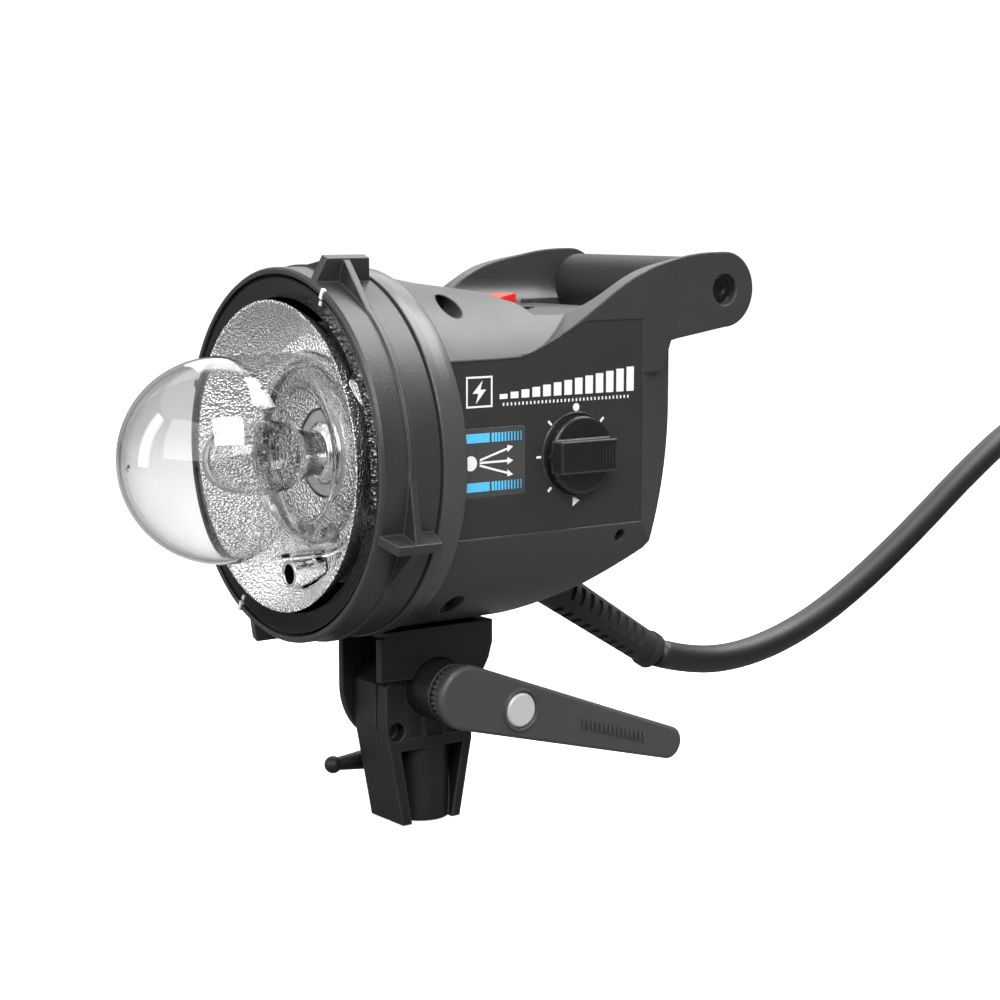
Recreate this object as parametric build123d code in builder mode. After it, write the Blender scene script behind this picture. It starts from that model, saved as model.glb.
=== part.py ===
"""Zoom flash head on a stand clamp: a pack-fed studio strobe head, millimetres, +Z up.

The origin is the mouth of the stand socket, the lamp faces -Y and its axis is level.
"""
import os
from math import cos, pi, radians, sin, tan

from build123d import *

os.makedirs("parts", exist_ok=True)

# ---- driving dimensions ----------------------------------------------------
lamp_z = 164.0            # height of the lamp's axis over the socket's mouth
lip_y = -70.0             # front lip of the lock ring
casing_front = -29.0      # where the shells start, behind the bezel
casing_rear = 99.0        # flat back of the shells
half_width = 62.0         # flat sides
barrel_r = 74.3           # round top of the casing
flat_low = 33.0           # the flat sides end this far below the axis
belly_drop = 77.0         # depth of the belly below the axis
deck_rise = 57.5          # height of the rear deck above the axis
wall = 3.0                # shell wall
side_panel_t = 1.2        # inset side panels
ring_r = 78.0             # lock ring, outside
ring_width = 27.5
throat_r = 73.6           # fixed throat inside the lock ring
dish_r = 64.7             # reflector dish rim
dome_r = 42.5             # glass dome
grip_r = 14.0             # carrying handle bar
pivot_y, pivot_z = -2.0, 59.5      # tilt axis
stud_bore_r = 8.1         # takes a 16 mm lighting stud
stud_bore_depth = 40.0
cheek_gap = 27.0          # between the tilt yoke's cheeks
yoke_t = 3.0
cable_d = 13.5
gap = 0.3                 # running clearance between moving pieces

lamp_axis = Axis((0, lip_y, lamp_z), (0, 1, 0))
lamp_plane = Plane(origin=(0, lip_y, lamp_z))          # x is radius, y is depth behind the lip
belly_z = lamp_z - belly_drop
deck_z = lamp_z + deck_rise


def save(piece, label):
    """Labels one finished piece and writes its STEP file."""
    piece.part.label = label
    export_step(piece.part, f"parts/{label}.step")


def turned(label, *outline, centre=(0, 0)):
    """A piece turned about the lamp's axis, from (radius, depth) points."""
    place = Plane(origin=(centre[0], lip_y, lamp_z + centre[1]))
    with BuildPart() as piece:
        with BuildSketch(place):
            with BuildLine():
                Polyline(*outline, close=True)
            make_face()
        revolve(axis=Axis(place.origin, (0, 1, 0)))
    save(piece, label)
    return piece


def across(y):
    """The plane across the lamp's axis at y, with x = X and y = Z; extrusion by -d goes back."""
    return Plane(origin=(0, y, 0), x_dir=(1, 0, 0), z_dir=(0, -1, 0))


def side_plane(x):
    """The plane square to X at x, with x = Y and y = Z; extrusion by +d goes outwards along +X."""
    return Plane(origin=(x, 0, 0), x_dir=(0, 1, 0), z_dir=(1, 0, 0))


# ---- casing: two shells with the carrying arms, and what closes them ----------
flat_z = lamp_z + (barrel_r**2 - half_width**2) ** 0.5      # where the flat side meets the barrel
arm_end_y, arm_end_z, arm_end_r = casing_rear + 26.7, lamp_z + 66.3, 16.6
arm_t = 7.5
arm_top = [(10, flat_z + 1.5), (36, 217), (50, 225.5), (77, 239.8), (96, 244)]
chamfer_y = 74.0


def casing_form(inset):
    """The casing's outer form, drawn in by inset; 0 is the outside and the wall is the cavity."""
    w, r = half_width - inset, barrel_r - inset
    rise, low, drop = (r**2 - w**2) ** 0.5, flat_low - inset / 4, belly_drop - inset
    with BuildPart() as form:
        with BuildSketch(across(casing_front - (5 if inset else 0))):
            with BuildLine():
                ThreePointArc((-w, lamp_z + rise), (0, lamp_z + r), (w, lamp_z + rise))
                Line((w, lamp_z + rise), (w, lamp_z - low))
                ThreePointArc((w, lamp_z - low), (0, lamp_z - drop), (-w, lamp_z - low))
                Line((-w, lamp_z - low), (-w, lamp_z + rise))
            make_face()
        extrude(amount=-(casing_rear - casing_front + 10))
        with BuildSketch(Plane.YZ):
            rear = casing_rear - (inset + 14 if inset else 0)
            top, base = deck_z - inset, belly_z + inset
            with BuildLine():
                Polyline(
                    (rear, 181), (rear, top), (27, top), (23, top + 4.5), (9, top + 9.6),
                    (-17, top + 13.6), (casing_front, top + 17), (casing_front - 6, top + 17),
                    (casing_front - 6, base), (24 - inset, base), (57 - inset, base + 17),
                    (80 - inset, base + 32),
                )
                ThreePointArc((80 - inset, base + 32), (rear - 5, base + 61), (rear, 181))
            make_face()
        extrude(amount=half_width + 5, both=True, mode=Mode.INTERSECT)
        with BuildSketch(Plane.XY):
            with BuildLine():
                Polyline(
                    (-w, casing_front - 6), (w, casing_front - 6), (w, chamfer_y), (w - 12, casing_rear),
                    (-w + 12, casing_rear), (-w, chamfer_y), close=True,
                )
            make_face()
        extrude(amount=lamp_z + 100, mode=Mode.INTERSECT)
    return form.part


def carrying_arm(side):
    """One arm beside the handle, with the cove that runs from it down to the deck."""
    outer, inner = side * half_width, side * (half_width - arm_t)
    with BuildPart() as arm:
        with BuildSketch(Plane.YZ):
            with BuildLine():
                Spline(*arm_top, (arm_end_y, arm_end_z + arm_end_r), tangents=((1, 0.1), (1, 0)))
                ThreePointArc(
                    (arm_end_y, arm_end_z + arm_end_r), (arm_end_y + arm_end_r, arm_end_z),
                    (arm_end_y, arm_end_z - arm_end_r),
                )
                Polyline((arm_end_y, arm_end_z - arm_end_r), (casing_rear - 5, 209), (casing_rear - 11, 196), (10, 196), arm_top[0])
            make_face()
        extrude(amount=half_width + 1, both=True)
        with BuildSketch(Plane.XY):
            with BuildLine():
                Polyline(
                    (outer, 0), (outer, chamfer_y), (outer - side * 5.5, casing_rear - 1),
                    (outer - side * 5.5, arm_end_y + 25), (inner - side * 5.5, arm_end_y + 25),
                    (inner - side * 5.5, casing_rear - 7), (inner - side * 22, casing_rear - 19),
                    (inner - side * 22, 0), close=True,
                )
            make_face()
        extrude(amount=lamp_z + 120, mode=Mode.INTERSECT)
        cove_r = 12.0
        with BuildSketch(across(-10)):
            with Locations((inner - side * cove_r, deck_z + cove_r)):
                Circle(cove_r)
            with Locations((0, deck_z + 2 * cove_r)):
                Rectangle(2 * (half_width - arm_t - cove_r), 4 * cove_r)
            with Locations((inner - side * cove_r, deck_z + 2 * cove_r)):
                Rectangle(2 * cove_r, 2 * cove_r)
        extrude(amount=-160, mode=Mode.SUBTRACT)
    return arm.part


knob_y, knob_z = 37.9, lamp_z - 0.7
knob_r, shaft_r = 16.5, 3.0
screw_pockets = [                    # y, z, seat of the screw's head, radius
    (-12.5, lamp_z + 61.7, 28.0, 4.6),
    (-11.0, lamp_z - 63.0, 31.0, 4.6),
    (63.5, lamp_z - 37.5, 54.0, 2.6),
]
panel_rear_y = 74.0
badge_y, badge_z, badge_w, badge_h = -6.2, lamp_z - 1.0, 35.8, 29.2
rear_open_w, rear_open_low, rear_open_high = 88.0, lamp_z - 4, deck_z - 6
switch_y, switch_x = 44.0, -9.0
relief_base = (0, 50.0, 108.7)
relief_tip = (0, 133.0, 57.0)
relief_dir = Vector(*relief_tip) - Vector(*relief_base)
relief_axis = Plane(origin=relief_base, x_dir=(1, 0, 0), z_dir=relief_dir.normalized())


def panel_sketch(side, shrink):
    """The outline of the inset side panel, on its own plane."""
    with BuildSketch(side_plane(side * (half_width - side_panel_t))) as sketch:
        with BuildLine():
            Polyline(
                (casing_front + 1 + shrink, lamp_z - flat_low + 1 + shrink),
                (casing_front + 1 + shrink, flat_z - 1 - shrink), (10, flat_z - shrink),
                (36, 216 - shrink), (44, 219 - shrink), (panel_rear_y - shrink, 219 - shrink),
                (panel_rear_y - shrink, lamp_z - flat_low + 1 + shrink), close=True,
            )
        make_face()
    return sketch.sketch


def half_shell(label, side):
    """One shell with its arm: side is +1 for the knob side and -1 for the far side."""
    shaped, cavity, arm = casing_form(0), casing_form(wall), carrying_arm(side)
    with BuildPart() as bosses:
        for y, z, seat, r in screw_pockets:
            with BuildSketch(side_plane(side * (seat - 3))):
                with Locations((y, z)):
                    Circle(r + 1.8)
            extrude(amount=side * 50)
        add(shaped, mode=Mode.INTERSECT)
    with BuildPart() as shell:
        add(shaped)
        add(arm)
        add(cavity, mode=Mode.SUBTRACT)
        add(bosses.part)
        with Locations((0, casing_rear, (rear_open_low + rear_open_high) / 2)):
            Box(rear_open_w, 40, rear_open_high - rear_open_low, mode=Mode.SUBTRACT)
        with Locations((switch_x, switch_y, deck_z)):
            Box(22, 30, 20, mode=Mode.SUBTRACT)
        extrude(panel_sketch(side, 0), amount=side * (side_panel_t + 1), mode=Mode.SUBTRACT)
        for y, z, seat, r in screw_pockets:
            with BuildSketch(side_plane(side * seat)):
                with Locations((y, z)):
                    Circle(r)
            extrude(amount=side * 40, mode=Mode.SUBTRACT)
        with BuildSketch(side_plane(side * 40)):
            with Locations((arm_end_y, arm_end_z)):
                Circle(3.1)
        extrude(amount=side * 40, mode=Mode.SUBTRACT)
        with BuildSketch(side_plane(side * (half_width - 9.5))):
            with Locations((arm_end_y, arm_end_z)):
                Circle(6.9)
        extrude(amount=side * 20, mode=Mode.SUBTRACT)
        if side > 0:
            with BuildSketch(side_plane(40)):
                with Locations((knob_y, knob_z)):
                    Circle(6.0)
            extrude(amount=40, mode=Mode.SUBTRACT)
        with BuildSketch(relief_axis.offset(-20)):
            Circle(10.0)
        extrude(amount=50, mode=Mode.SUBTRACT)
        for y in yoke_screw_y:
            with BuildSketch(Plane.XY.offset(belly_z - 1)):
                with Locations((0, y)):
                    Circle(2.6)
            extrude(amount=10, mode=Mode.SUBTRACT)
        split(bisect_by=Plane.YZ, keep=Keep.TOP if side > 0 else Keep.BOTTOM)
    save(shell, label)


yoke_screw_y = (-20.0, 8.0)
half_shell("shell_right", 1)
half_shell("shell_left", -1)

for label, side in (("side_panel_right", 1), ("side_panel_left", -1)):
    with BuildPart() as panel:
        extrude(panel_sketch(side, 0.06), amount=side * (side_panel_t - 0.15))
        if side > 0:
            with BuildSketch(side_plane(half_width - 5)):
                with Locations((knob_y, knob_z)):
                    Circle(6.0)
            extrude(amount=10, mode=Mode.SUBTRACT)
            with BuildSketch(side_plane(half_width - 0.6)):
                with Locations((badge_y, badge_z)):
                    RectangleRounded(badge_w, badge_h, 1.5)
            extrude(amount=5, mode=Mode.SUBTRACT)
    save(panel, label)

with BuildPart() as badge:
    with BuildSketch(side_plane(half_width - 0.6)):
        with Locations((badge_y, badge_z)):
            RectangleRounded(badge_w - 0.3, badge_h - 0.3, 1.4)
    extrude(amount=0.35)
save(badge, "zoom_badge")

bezel_front = ring_width + 1.3      # depth of the bezel's front face, a visible gap behind the lock ring
bezel_rear = casing_front - lip_y - 0.1
turned(
    "front_bezel",
    (66, bezel_front - gap), (throat_r, bezel_front - gap), (throat_r + gap, bezel_front),
    (ring_r + 0.6, bezel_front), (ring_r + 0.7, bezel_front + 4), (ring_r, bezel_rear - 3),
    (ring_r - 0.7, bezel_rear), (66, bezel_rear),
)

with BuildPart() as rear_panel:
    with BuildSketch(across(casing_rear - 17)):
        with Locations((0, (rear_open_low + rear_open_high) / 2)):
            Rectangle(rear_open_w - 0.4, rear_open_high - rear_open_low - 0.4)
    extrude(amount=-2.5)
    with BuildSketch(across(casing_rear - 17)):
        for n in range(7):
            with Locations((0, rear_open_low + 8 + n * 6)):
                SlotOverall(56, 2.2)
    extrude(amount=-2.5, mode=Mode.SUBTRACT)
save(rear_panel, "rear_panel")

with BuildPart() as boss_screw_set:
    for side in (1, -1):
        for y, z, seat, r in screw_pockets:
            with BuildSketch(side_plane(side * (seat + 0.01))):
                with Locations((y, z)):
                    Circle(r - 0.2)
                    RegularPolygon(1.5 if r > 3 else 1.0, 6, mode=Mode.SUBTRACT)
            extrude(amount=side * 2.5)
save(boss_screw_set, "shell_screws")

# ---- handle between the arms ------------------------------------------------
grip_half = half_width - 5.5 - arm_t - 0.05
with BuildPart() as grip:
    with BuildSketch(side_plane(0)):
        with Locations((arm_end_y, arm_end_z)):
            Circle(grip_r)
    extrude(amount=grip_half, both=True)
    fillet(grip.edges().filter_by(GeomType.CIRCLE), 2.0)
    with BuildSketch(side_plane(0)):
        with Locations((arm_end_y, arm_end_z)):
            Circle(3.1)
    extrude(amount=grip_half, both=True, mode=Mode.SUBTRACT)
save(grip, "handle_grip")

with BuildPart() as handle_bolts:
    for side in (1, -1):
        with BuildSketch(side_plane(side * 30)):
            with Locations((arm_end_y, arm_end_z)):
                Circle(3.0)
        extrude(amount=side * (half_width - 9.5 - 30))
        with BuildSketch(side_plane(side * (half_width - 9.5))):
            with Locations((arm_end_y, arm_end_z)):
                Circle(5.2)
                RegularPolygon(2.6, 6, mode=Mode.SUBTRACT)
        extrude(amount=side * 1.2)
save(handle_bolts, "handle_bolts")

# ---- lamp switch in the deck -------------------------------------------------
with BuildPart() as frame:
    with Locations((switch_x, switch_y, deck_z - 6.5)):
        Box(21.6, 29.6, 14)
    with Locations((switch_x, switch_y, deck_z + 0.9)):
        Box(24, 32, 0.8)
    with Locations((switch_x, switch_y, deck_z - 3)):
        Box(15, 22.4, 20, mode=Mode.SUBTRACT)
save(frame, "switch_frame")

with BuildPart() as rocker:
    with BuildSketch(side_plane(switch_x)):
        with BuildLine():
            Polyline(
                (switch_y - 10.6, deck_z - 4), (switch_y - 10.6, deck_z + 1.6), (switch_y, deck_z + 5.0),
                (switch_y + 9.6, deck_z + 7.2), (switch_y + 10.6, deck_z - 4), close=True,
            )
        make_face()
    extrude(amount=7.2, both=True)
    fillet(rocker.edges().filter_by(Axis.X), 0.8)
save(rocker, "switch_rocker")

# ---- lock ring: the bayonet that holds a reflector ---------------------------
lug_angles = (70, 160, 250, 340)
lug_rise = 10.0
with BuildPart() as lock_ring:
    with BuildSketch(lamp_plane):
        with BuildLine():
            Polyline(
                (throat_r + gap + 1.5, 0), (ring_r - 0.8, 0), (ring_r, 1.2), (ring_r, ring_width),
                (throat_r + gap, ring_width), (throat_r + gap, 3.5), (throat_r + gap + 1.5, 2.5),
                close=True,
            )
        make_face()
    revolve(axis=lamp_axis)
    with BuildSketch(lamp_plane):
        with Locations((ring_r, ring_width / 2)):
            Rectangle(1.8, 2.2)
    revolve(axis=lamp_axis)
    with BuildSketch(across(lip_y + ring_width / 2 - 1.5)):
        sweep_span = 30.0
        for angle in lug_angles:
            tip, foot = ring_r + lug_rise - 0.6, ring_r - 0.8
            with BuildLine():
                Polyline(
                    *[
                        (r * cos(radians(angle + a)), lamp_z + r * sin(radians(angle + a)))
                        for r, a in ((foot, -sweep_span), (tip, -1.6), (tip, 1.6), (foot, sweep_span))
                    ],
                    (0.9 * ring_r * cos(radians(angle)), lamp_z + 0.9 * ring_r * sin(radians(angle))),
                    close=True,
                )
            make_face()
        with Locations((0, lamp_z)):
            Circle(ring_r - 1.0, mode=Mode.SUBTRACT)
    extrude(amount=-3.0)
    for angle in lug_angles:
        out = (cos(radians(angle)), 0, sin(radians(angle)))
        tangent = (sin(radians(angle)), 0, -cos(radians(angle)))
        face = Plane(origin=(0, lip_y, lamp_z), x_dir=out, z_dir=tangent)
        with BuildSketch(face):
            flip = 1 if face.y_dir.Y > 0 else -1
            with BuildLine():
                Polyline(
                    (ring_r - 1, flip * 1.0), (ring_r + lug_rise, flip * 4.5),
                    (ring_r + lug_rise, flip * (ring_width - 3)), (ring_r - 1, flip * (ring_width - 0.5)),
                    close=True,
                )
            make_face()
        extrude(amount=2.0, both=True)
save(lock_ring, "lock_ring")

turned(
    "throat",
    (throat_r, 4.2), (throat_r + 0.6, 1.2), (throat_r + 0.2, 0.6), (dish_r + 0.9, 2.6),
    (dish_r + 0.9, bezel_front - gap), (throat_r, bezel_front - gap),
)

# ---- lamp carriage: dish, flash tube, modelling lamp and dome slide back together ----
dish_floor, plate_depth = 20.0, 24.0
tube_z = -50.0                      # umbrella tube, below the lamp's axis
pitch_r, module, tooth_n = 6.5, 1.0, 13
rack_x, rack_w = 34.0, 6.0
rod_x, rod_z, rod_r = 38.0, 30.0, 3.0
rack_end = 44.5             # rear end of the rack at rest

with BuildPart() as dish:
    with BuildSketch(lamp_plane):
        with BuildLine():
            Spline((dish_r - 1.1, -3), (58.2, 7), (50, dish_floor - 1))
            Polyline((50, dish_floor - 1), (46, dish_floor), (19, dish_floor), (19, dish_floor + 1.1))
            Polyline((19, dish_floor + 1.1), (46.2, dish_floor + 1.1), (51.2, dish_floor))
            Spline((51.2, dish_floor), (59.2, 7.6), (dish_r, -3))
            Line((dish_r, -3), (dish_r - 1.1, -3))
        make_face()
    revolve(axis=lamp_axis)
    with BuildSketch(across(lip_y - 5)):
        with Locations((0, lamp_z + tube_z)):
            Circle(6.8)
        with Locations((50, lamp_z + 27)):
            Ellipse(5, 8)
        with Locations((44, lamp_z - 27)):
            Circle(4.5)
        with Locations((-9, lamp_z - 33), (9, lamp_z - 33)):
            Circle(4.6)
    extrude(amount=-(plate_depth + 10), mode=Mode.SUBTRACT)
save(dish, "reflector_dish")

with BuildPart() as plate:
    with BuildSketch(across(lip_y + plate_depth)):
        with Locations((0, lamp_z)):
            Circle(55)
            Circle(18.3, mode=Mode.SUBTRACT)
        with Locations((0, lamp_z + tube_z)):
            Circle(6.8, mode=Mode.SUBTRACT)
        with Locations((-9, lamp_z - 33), (9, lamp_z - 33)):
            Circle(4.3, mode=Mode.SUBTRACT)
    extrude(amount=-2.5)
    with BuildSketch(across(lip_y + dish_floor + 1.1)):
        for angle in (60, 180, 300):
            with Locations((35 * cos(radians(angle)), lamp_z + 35 * sin(radians(angle)))):
                Circle(4)
    extrude(amount=-(plate_depth - dish_floor - 1.1))
save(plate, "carriage_plate")

with BuildPart() as rods:
    with BuildSketch(across(lip_y + plate_depth + 2.5)):
        with Locations((-rod_x, lamp_z + rod_z), (rod_x, lamp_z + rod_z)):
            Circle(rod_r)
    extrude(amount=-(46 - lip_y - plate_depth - 2.5))
save(rods, "guide_rods")

with BuildPart() as dome:
    with BuildSketch(lamp_plane):
        with BuildLine():
            Polyline(
                (dome_r, -27), (dome_r, dish_floor - 0.4), (dome_r - 1.8, dish_floor - 0.4),
                (dome_r - 1.8, -27),
            )
            RadiusArc((dome_r - 1.8, -27), (0, -27 - dome_r + 1.8), dome_r - 1.8)
            Line((0, -27 - dome_r + 1.8), (0, -27 - dome_r))
            RadiusArc((0, -27 - dome_r), (dome_r, -27), -dome_r)
        make_face()
    revolve(axis=lamp_axis)
save(dome, "glass_dome")

with BuildPart() as flash_tube:
    with BuildSketch(lamp_plane):
        with Locations((32.5, dish_floor - 8)):
            Circle(5.6)
            Circle(4.4, mode=Mode.SUBTRACT)
    revolve(axis=lamp_axis)
    with BuildSketch(across(lip_y + dish_floor - 4)):
        with Locations((-9, lamp_z - 33), (9, lamp_z - 33)):
            Circle(3.4)
    extrude(amount=-13)
save(flash_tube, "flash_tube")

with BuildPart() as terminals:
    with BuildSketch(across(lip_y + dish_floor + 9)):
        with Locations((-9, lamp_z - 33), (9, lamp_z - 33)):
            Circle(6.0)
    extrude(amount=-12)
save(terminals, "tube_terminals")

turned(
    "lamp_socket",
    (13.2, dish_floor + 1), (18, dish_floor + 1), (18, 50), (8, 52), (0, 52), (0, 47), (13.2, 47),
)
turned(
    "lamp_cap",
    (9, dish_floor - 3), (13, dish_floor), (13, 44), (5, 46.8), (0, 46.8), (0, 40), (11.8, 40),
    (11.8, dish_floor),
)
with BuildPart() as bulb:
    with BuildSketch(lamp_plane):
        with BuildLine():
            Spline(
                (0, -34), (12.5, -26), (15.5, -14), (14, 2), (8.9, dish_floor - 3),
                tangents=((1, 0), (-0.2, 1)),
            )
            Polyline((8.9, dish_floor - 3), (7.9, dish_floor - 3))
            Spline(
                (7.9, dish_floor - 3), (13, 2), (14.5, -14), (11.6, -25), (0, -33),
                tangents=((0.2, -1), (-1, 0)),
            )
            Line((0, -33), (0, -34))
        make_face()
    revolve(axis=lamp_axis)
save(bulb, "modelling_lamp")

turned(
    "dome_clip_ring",
    (dome_r + 0.1, dish_floor - 4), (dome_r + 1.2, dish_floor - 3.4), (dome_r + 1.2, dish_floor),
    (dome_r + 0.1, dish_floor),
)

with BuildPart() as rack:
    base_z = knob_z - pitch_r - 1.25 * module
    with BuildSketch(side_plane(rack_x)):
        with Locations(((rack_end + lip_y + plate_depth + 2.5) / 2, base_z - 2.5)):
            Rectangle(rack_end - lip_y - plate_depth - 2.5, 5)
        for n in range(-1, 15):
            y = knob_y - n * pi * module + pi * module / 2
            with BuildLine():
                Polyline(
                    (y - 0.95, base_z - 0.1), (y - 0.38, base_z + 1.95), (y + 0.38, base_z + 1.95),
                    (y + 0.95, base_z - 0.1), close=True,
                )
            make_face()
    extrude(amount=rack_w)
save(rack, "zoom_rack")

with BuildPart() as pinion:
    with BuildSketch(side_plane(rack_x)):
        with Locations((knob_y, knob_z)):
            Circle(pitch_r - 1.25 * module)
            with PolarLocations(pitch_r - 1.25 * module - 0.2, tooth_n, -90):
                with BuildLine(mode=Mode.PRIVATE) as tooth:
                    Polyline((0, -0.95), (2.1, -0.38), (2.1, 0.38), (0, 0.95), close=True)
                add(make_face(tooth.edges(), mode=Mode.PRIVATE))
            Circle(shaft_r, mode=Mode.SUBTRACT)
    extrude(amount=rack_w)
save(pinion, "zoom_pinion")

with BuildPart() as shaft:
    with BuildSketch(side_plane(27)):
        with Locations((knob_y, knob_z)):
            Circle(shaft_r)
    extrude(amount=half_width + 7.9 - 27)
save(shaft, "knob_shaft")

with BuildPart() as bush:
    with BuildSketch(side_plane(half_width - 8)):
        with Locations((knob_y, knob_z)):
            Circle(5.9)
            Circle(shaft_r + 0.06, mode=Mode.SUBTRACT)
    extrude(amount=8.2)
save(bush, "shaft_bush")

wing_w = 13.6
with BuildPart() as knob:
    with BuildSketch(side_plane(half_width + 0.6)):
        with Locations((knob_y, knob_z)):
            Circle(knob_r)
    extrude(amount=4.5)
    fillet(knob.edges().filter_by(GeomType.CIRCLE).sort_by(Axis.X)[-1], 1.2)
    with BuildSketch(Plane.XY.offset(knob_z - wing_w / 2)):
        with BuildLine():
            Polyline(
                (half_width + 4.5, knob_y - 16.4), (half_width + 9.5, knob_y - 14.5),
                (half_width + 10.5, knob_y + 13.5), (half_width + 9, knob_y + 15.5),
                (half_width + 4.5, knob_y + 16.2), close=True,
            )
        make_face()
    extrude(amount=wing_w)
    fillet(knob.edges().filter_by(Axis.Z).sort_by(Axis.X)[-3:], 0.8)
    with BuildSketch(side_plane(half_width)):
        with Locations((knob_y, knob_z)):
            Circle(shaft_r)
    extrude(amount=8, mode=Mode.SUBTRACT)
save(knob, "zoom_knob")

# ---- chassis inside the shells ----------------------------------------------
bulkhead_y = (-4.0, 24.0)
for label, y in zip(("front_bulkhead", "rear_bulkhead"), bulkhead_y):
    with BuildPart() as bulkhead:
        with Locations((0, y + 1.25, lamp_z)):
            Box(200, 2.5, 200)
        add(casing_form(wall + 0.25), mode=Mode.INTERSECT)
        with BuildSketch(across(y - 1)):
            with Locations((0, lamp_z)):
                Circle(22 if y < 0 else 12)
            with Locations((-rod_x, lamp_z + rod_z), (rod_x, lamp_z + rod_z)):
                Circle(5.0)
            with Locations((0, lamp_z + tube_z)):
                Circle(5.9)
            with Locations((rack_x + rack_w / 2, base_z - 1.5)):
                Rectangle(rack_w + 2, 9)
            with Locations((0, lamp_z - 33)):
                Rectangle(34, 16)
            with Locations((0, deck_z)):
                Rectangle(30, 34)
        extrude(amount=-5, mode=Mode.SUBTRACT)
    save(bulkhead, label)

with BuildPart() as bushes:
    for y in bulkhead_y:
        with BuildSketch(across(y - 2)):
            with Locations((-rod_x, lamp_z + rod_z), (rod_x, lamp_z + rod_z)):
                Circle(4.95)
                Circle(rod_r + 0.06, mode=Mode.SUBTRACT)
        extrude(amount=-(5.9 if y > 0 else 8))
save(bushes, "rod_bushes")

with BuildPart() as bracket:
    with Locations((29.5, 34.75, knob_z)):
        Box(3, 16.5, 18)
    with Locations((24, 27.75, knob_z)):
        Box(12, 2.5, 18)
    with BuildSketch(side_plane(25)):
        with Locations((knob_y - 0.0, knob_z)):
            Circle(shaft_r + 0.06)
    extrude(amount=10, mode=Mode.SUBTRACT)
save(bracket, "shaft_bracket")

with BuildPart() as umbrella_tube:
    with BuildSketch(across(lip_y + 4.1)):
        with Locations((0, lamp_z + tube_z)):
            Circle(5.8)
    extrude(amount=-108)
    with BuildSketch(across(lip_y + 4.1)):
        with Locations((0, lamp_z + tube_z)):
            Circle(4.3)
    extrude(amount=-105, mode=Mode.SUBTRACT)
save(umbrella_tube, "umbrella_tube")

with BuildPart() as board:
    with Locations((-54, 46, lamp_z)):
        Box(1.6, 34, 54)
    with Locations((-48.2, 52, lamp_z + 14)):
        Box(10, 18, 20)
    with Locations((-51.2, 40, lamp_z - 8), (-51.2, 52, lamp_z - 16)):
        Box(4, 8, 10)
save(board, "control_board")

with BuildPart() as trigger:
    with BuildSketch(side_plane(-53.2)):
        with Locations((36, lamp_z + 16)):
            Circle(5.5)
    extrude(amount=14)
save(trigger, "trigger_coil")

with BuildPart() as terminal_block:
    with Locations((-24, 50, lamp_z - 20)):
        Box(26, 14.8, 18)
    with BuildSketch(Plane.XY.offset(lamp_z - 11)):
        with Locations((-32, 50), (-24, 50), (-16, 50)):
            Circle(2.4)
    extrude(amount=-4, mode=Mode.SUBTRACT)
save(terminal_block, "terminal_block")

# ---- tilt yoke under the casing ------------------------------------------------
cheek_r = 29.5
web_front = casing_front + 0.5
inner_x = cheek_gap / 2
boss_r = 13.0
with BuildPart() as yoke:
    with BuildSketch(side_plane(-inner_x)):
        with BuildLine():
            Polyline(
                (pivot_y - cheek_r, pivot_z), (pivot_y - cheek_r, belly_z - 2.5), (web_front, belly_z - 2.5),
                (web_front, belly_z), (pivot_y + cheek_r, belly_z), (pivot_y + cheek_r, pivot_z),
            )
            ThreePointArc(
                (pivot_y + cheek_r, pivot_z), (pivot_y, pivot_z - cheek_r), (pivot_y - cheek_r, pivot_z)
            )
        make_face()
        with Locations((pivot_y, pivot_z)):
            Circle(4.0, mode=Mode.SUBTRACT)
    extrude(amount=-yoke_t)
    with BuildSketch(side_plane(inner_x)):
        with BuildLine():
            Polyline(
                (web_front, belly_z), (web_front, belly_z - 2.5), (pivot_y - cheek_r, belly_z - 2.5),
                (pivot_y - cheek_r, 66), (pivot_y + 24, 64), (pivot_y + cheek_r - 2, 70),
                (pivot_y + cheek_r, 77), (pivot_y + cheek_r, belly_z), close=True,
            )
        make_face()
        with Locations((pivot_y, pivot_z)):
            Circle(boss_r + 1, mode=Mode.SUBTRACT)
    extrude(amount=yoke_t)
    with Locations((0, (web_front + pivot_y + cheek_r) / 2, belly_z - 1.25)):
        Box(cheek_gap + 2 * yoke_t, pivot_y + cheek_r - web_front, 2.5)
    with Locations(*[(0, y, belly_z - 2.5) for y in yoke_screw_y]):
        Hole(2.7, 5)
save(yoke, "tilt_yoke")

with BuildPart() as yoke_screws:
    for y in yoke_screw_y:
        with BuildSketch(Plane.XY.offset(belly_z - 2.5)):
            with Locations((0, y)):
                Circle(2.5)
        extrude(amount=10)
        with BuildSketch(Plane.XY.offset(belly_z - 2.5)):
            with Locations((0, y)):
                Circle(4.5)
                RegularPolygon(1.8, 6, mode=Mode.SUBTRACT)
        extrude(amount=-2.3)
save(yoke_screws, "yoke_screws")

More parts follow.
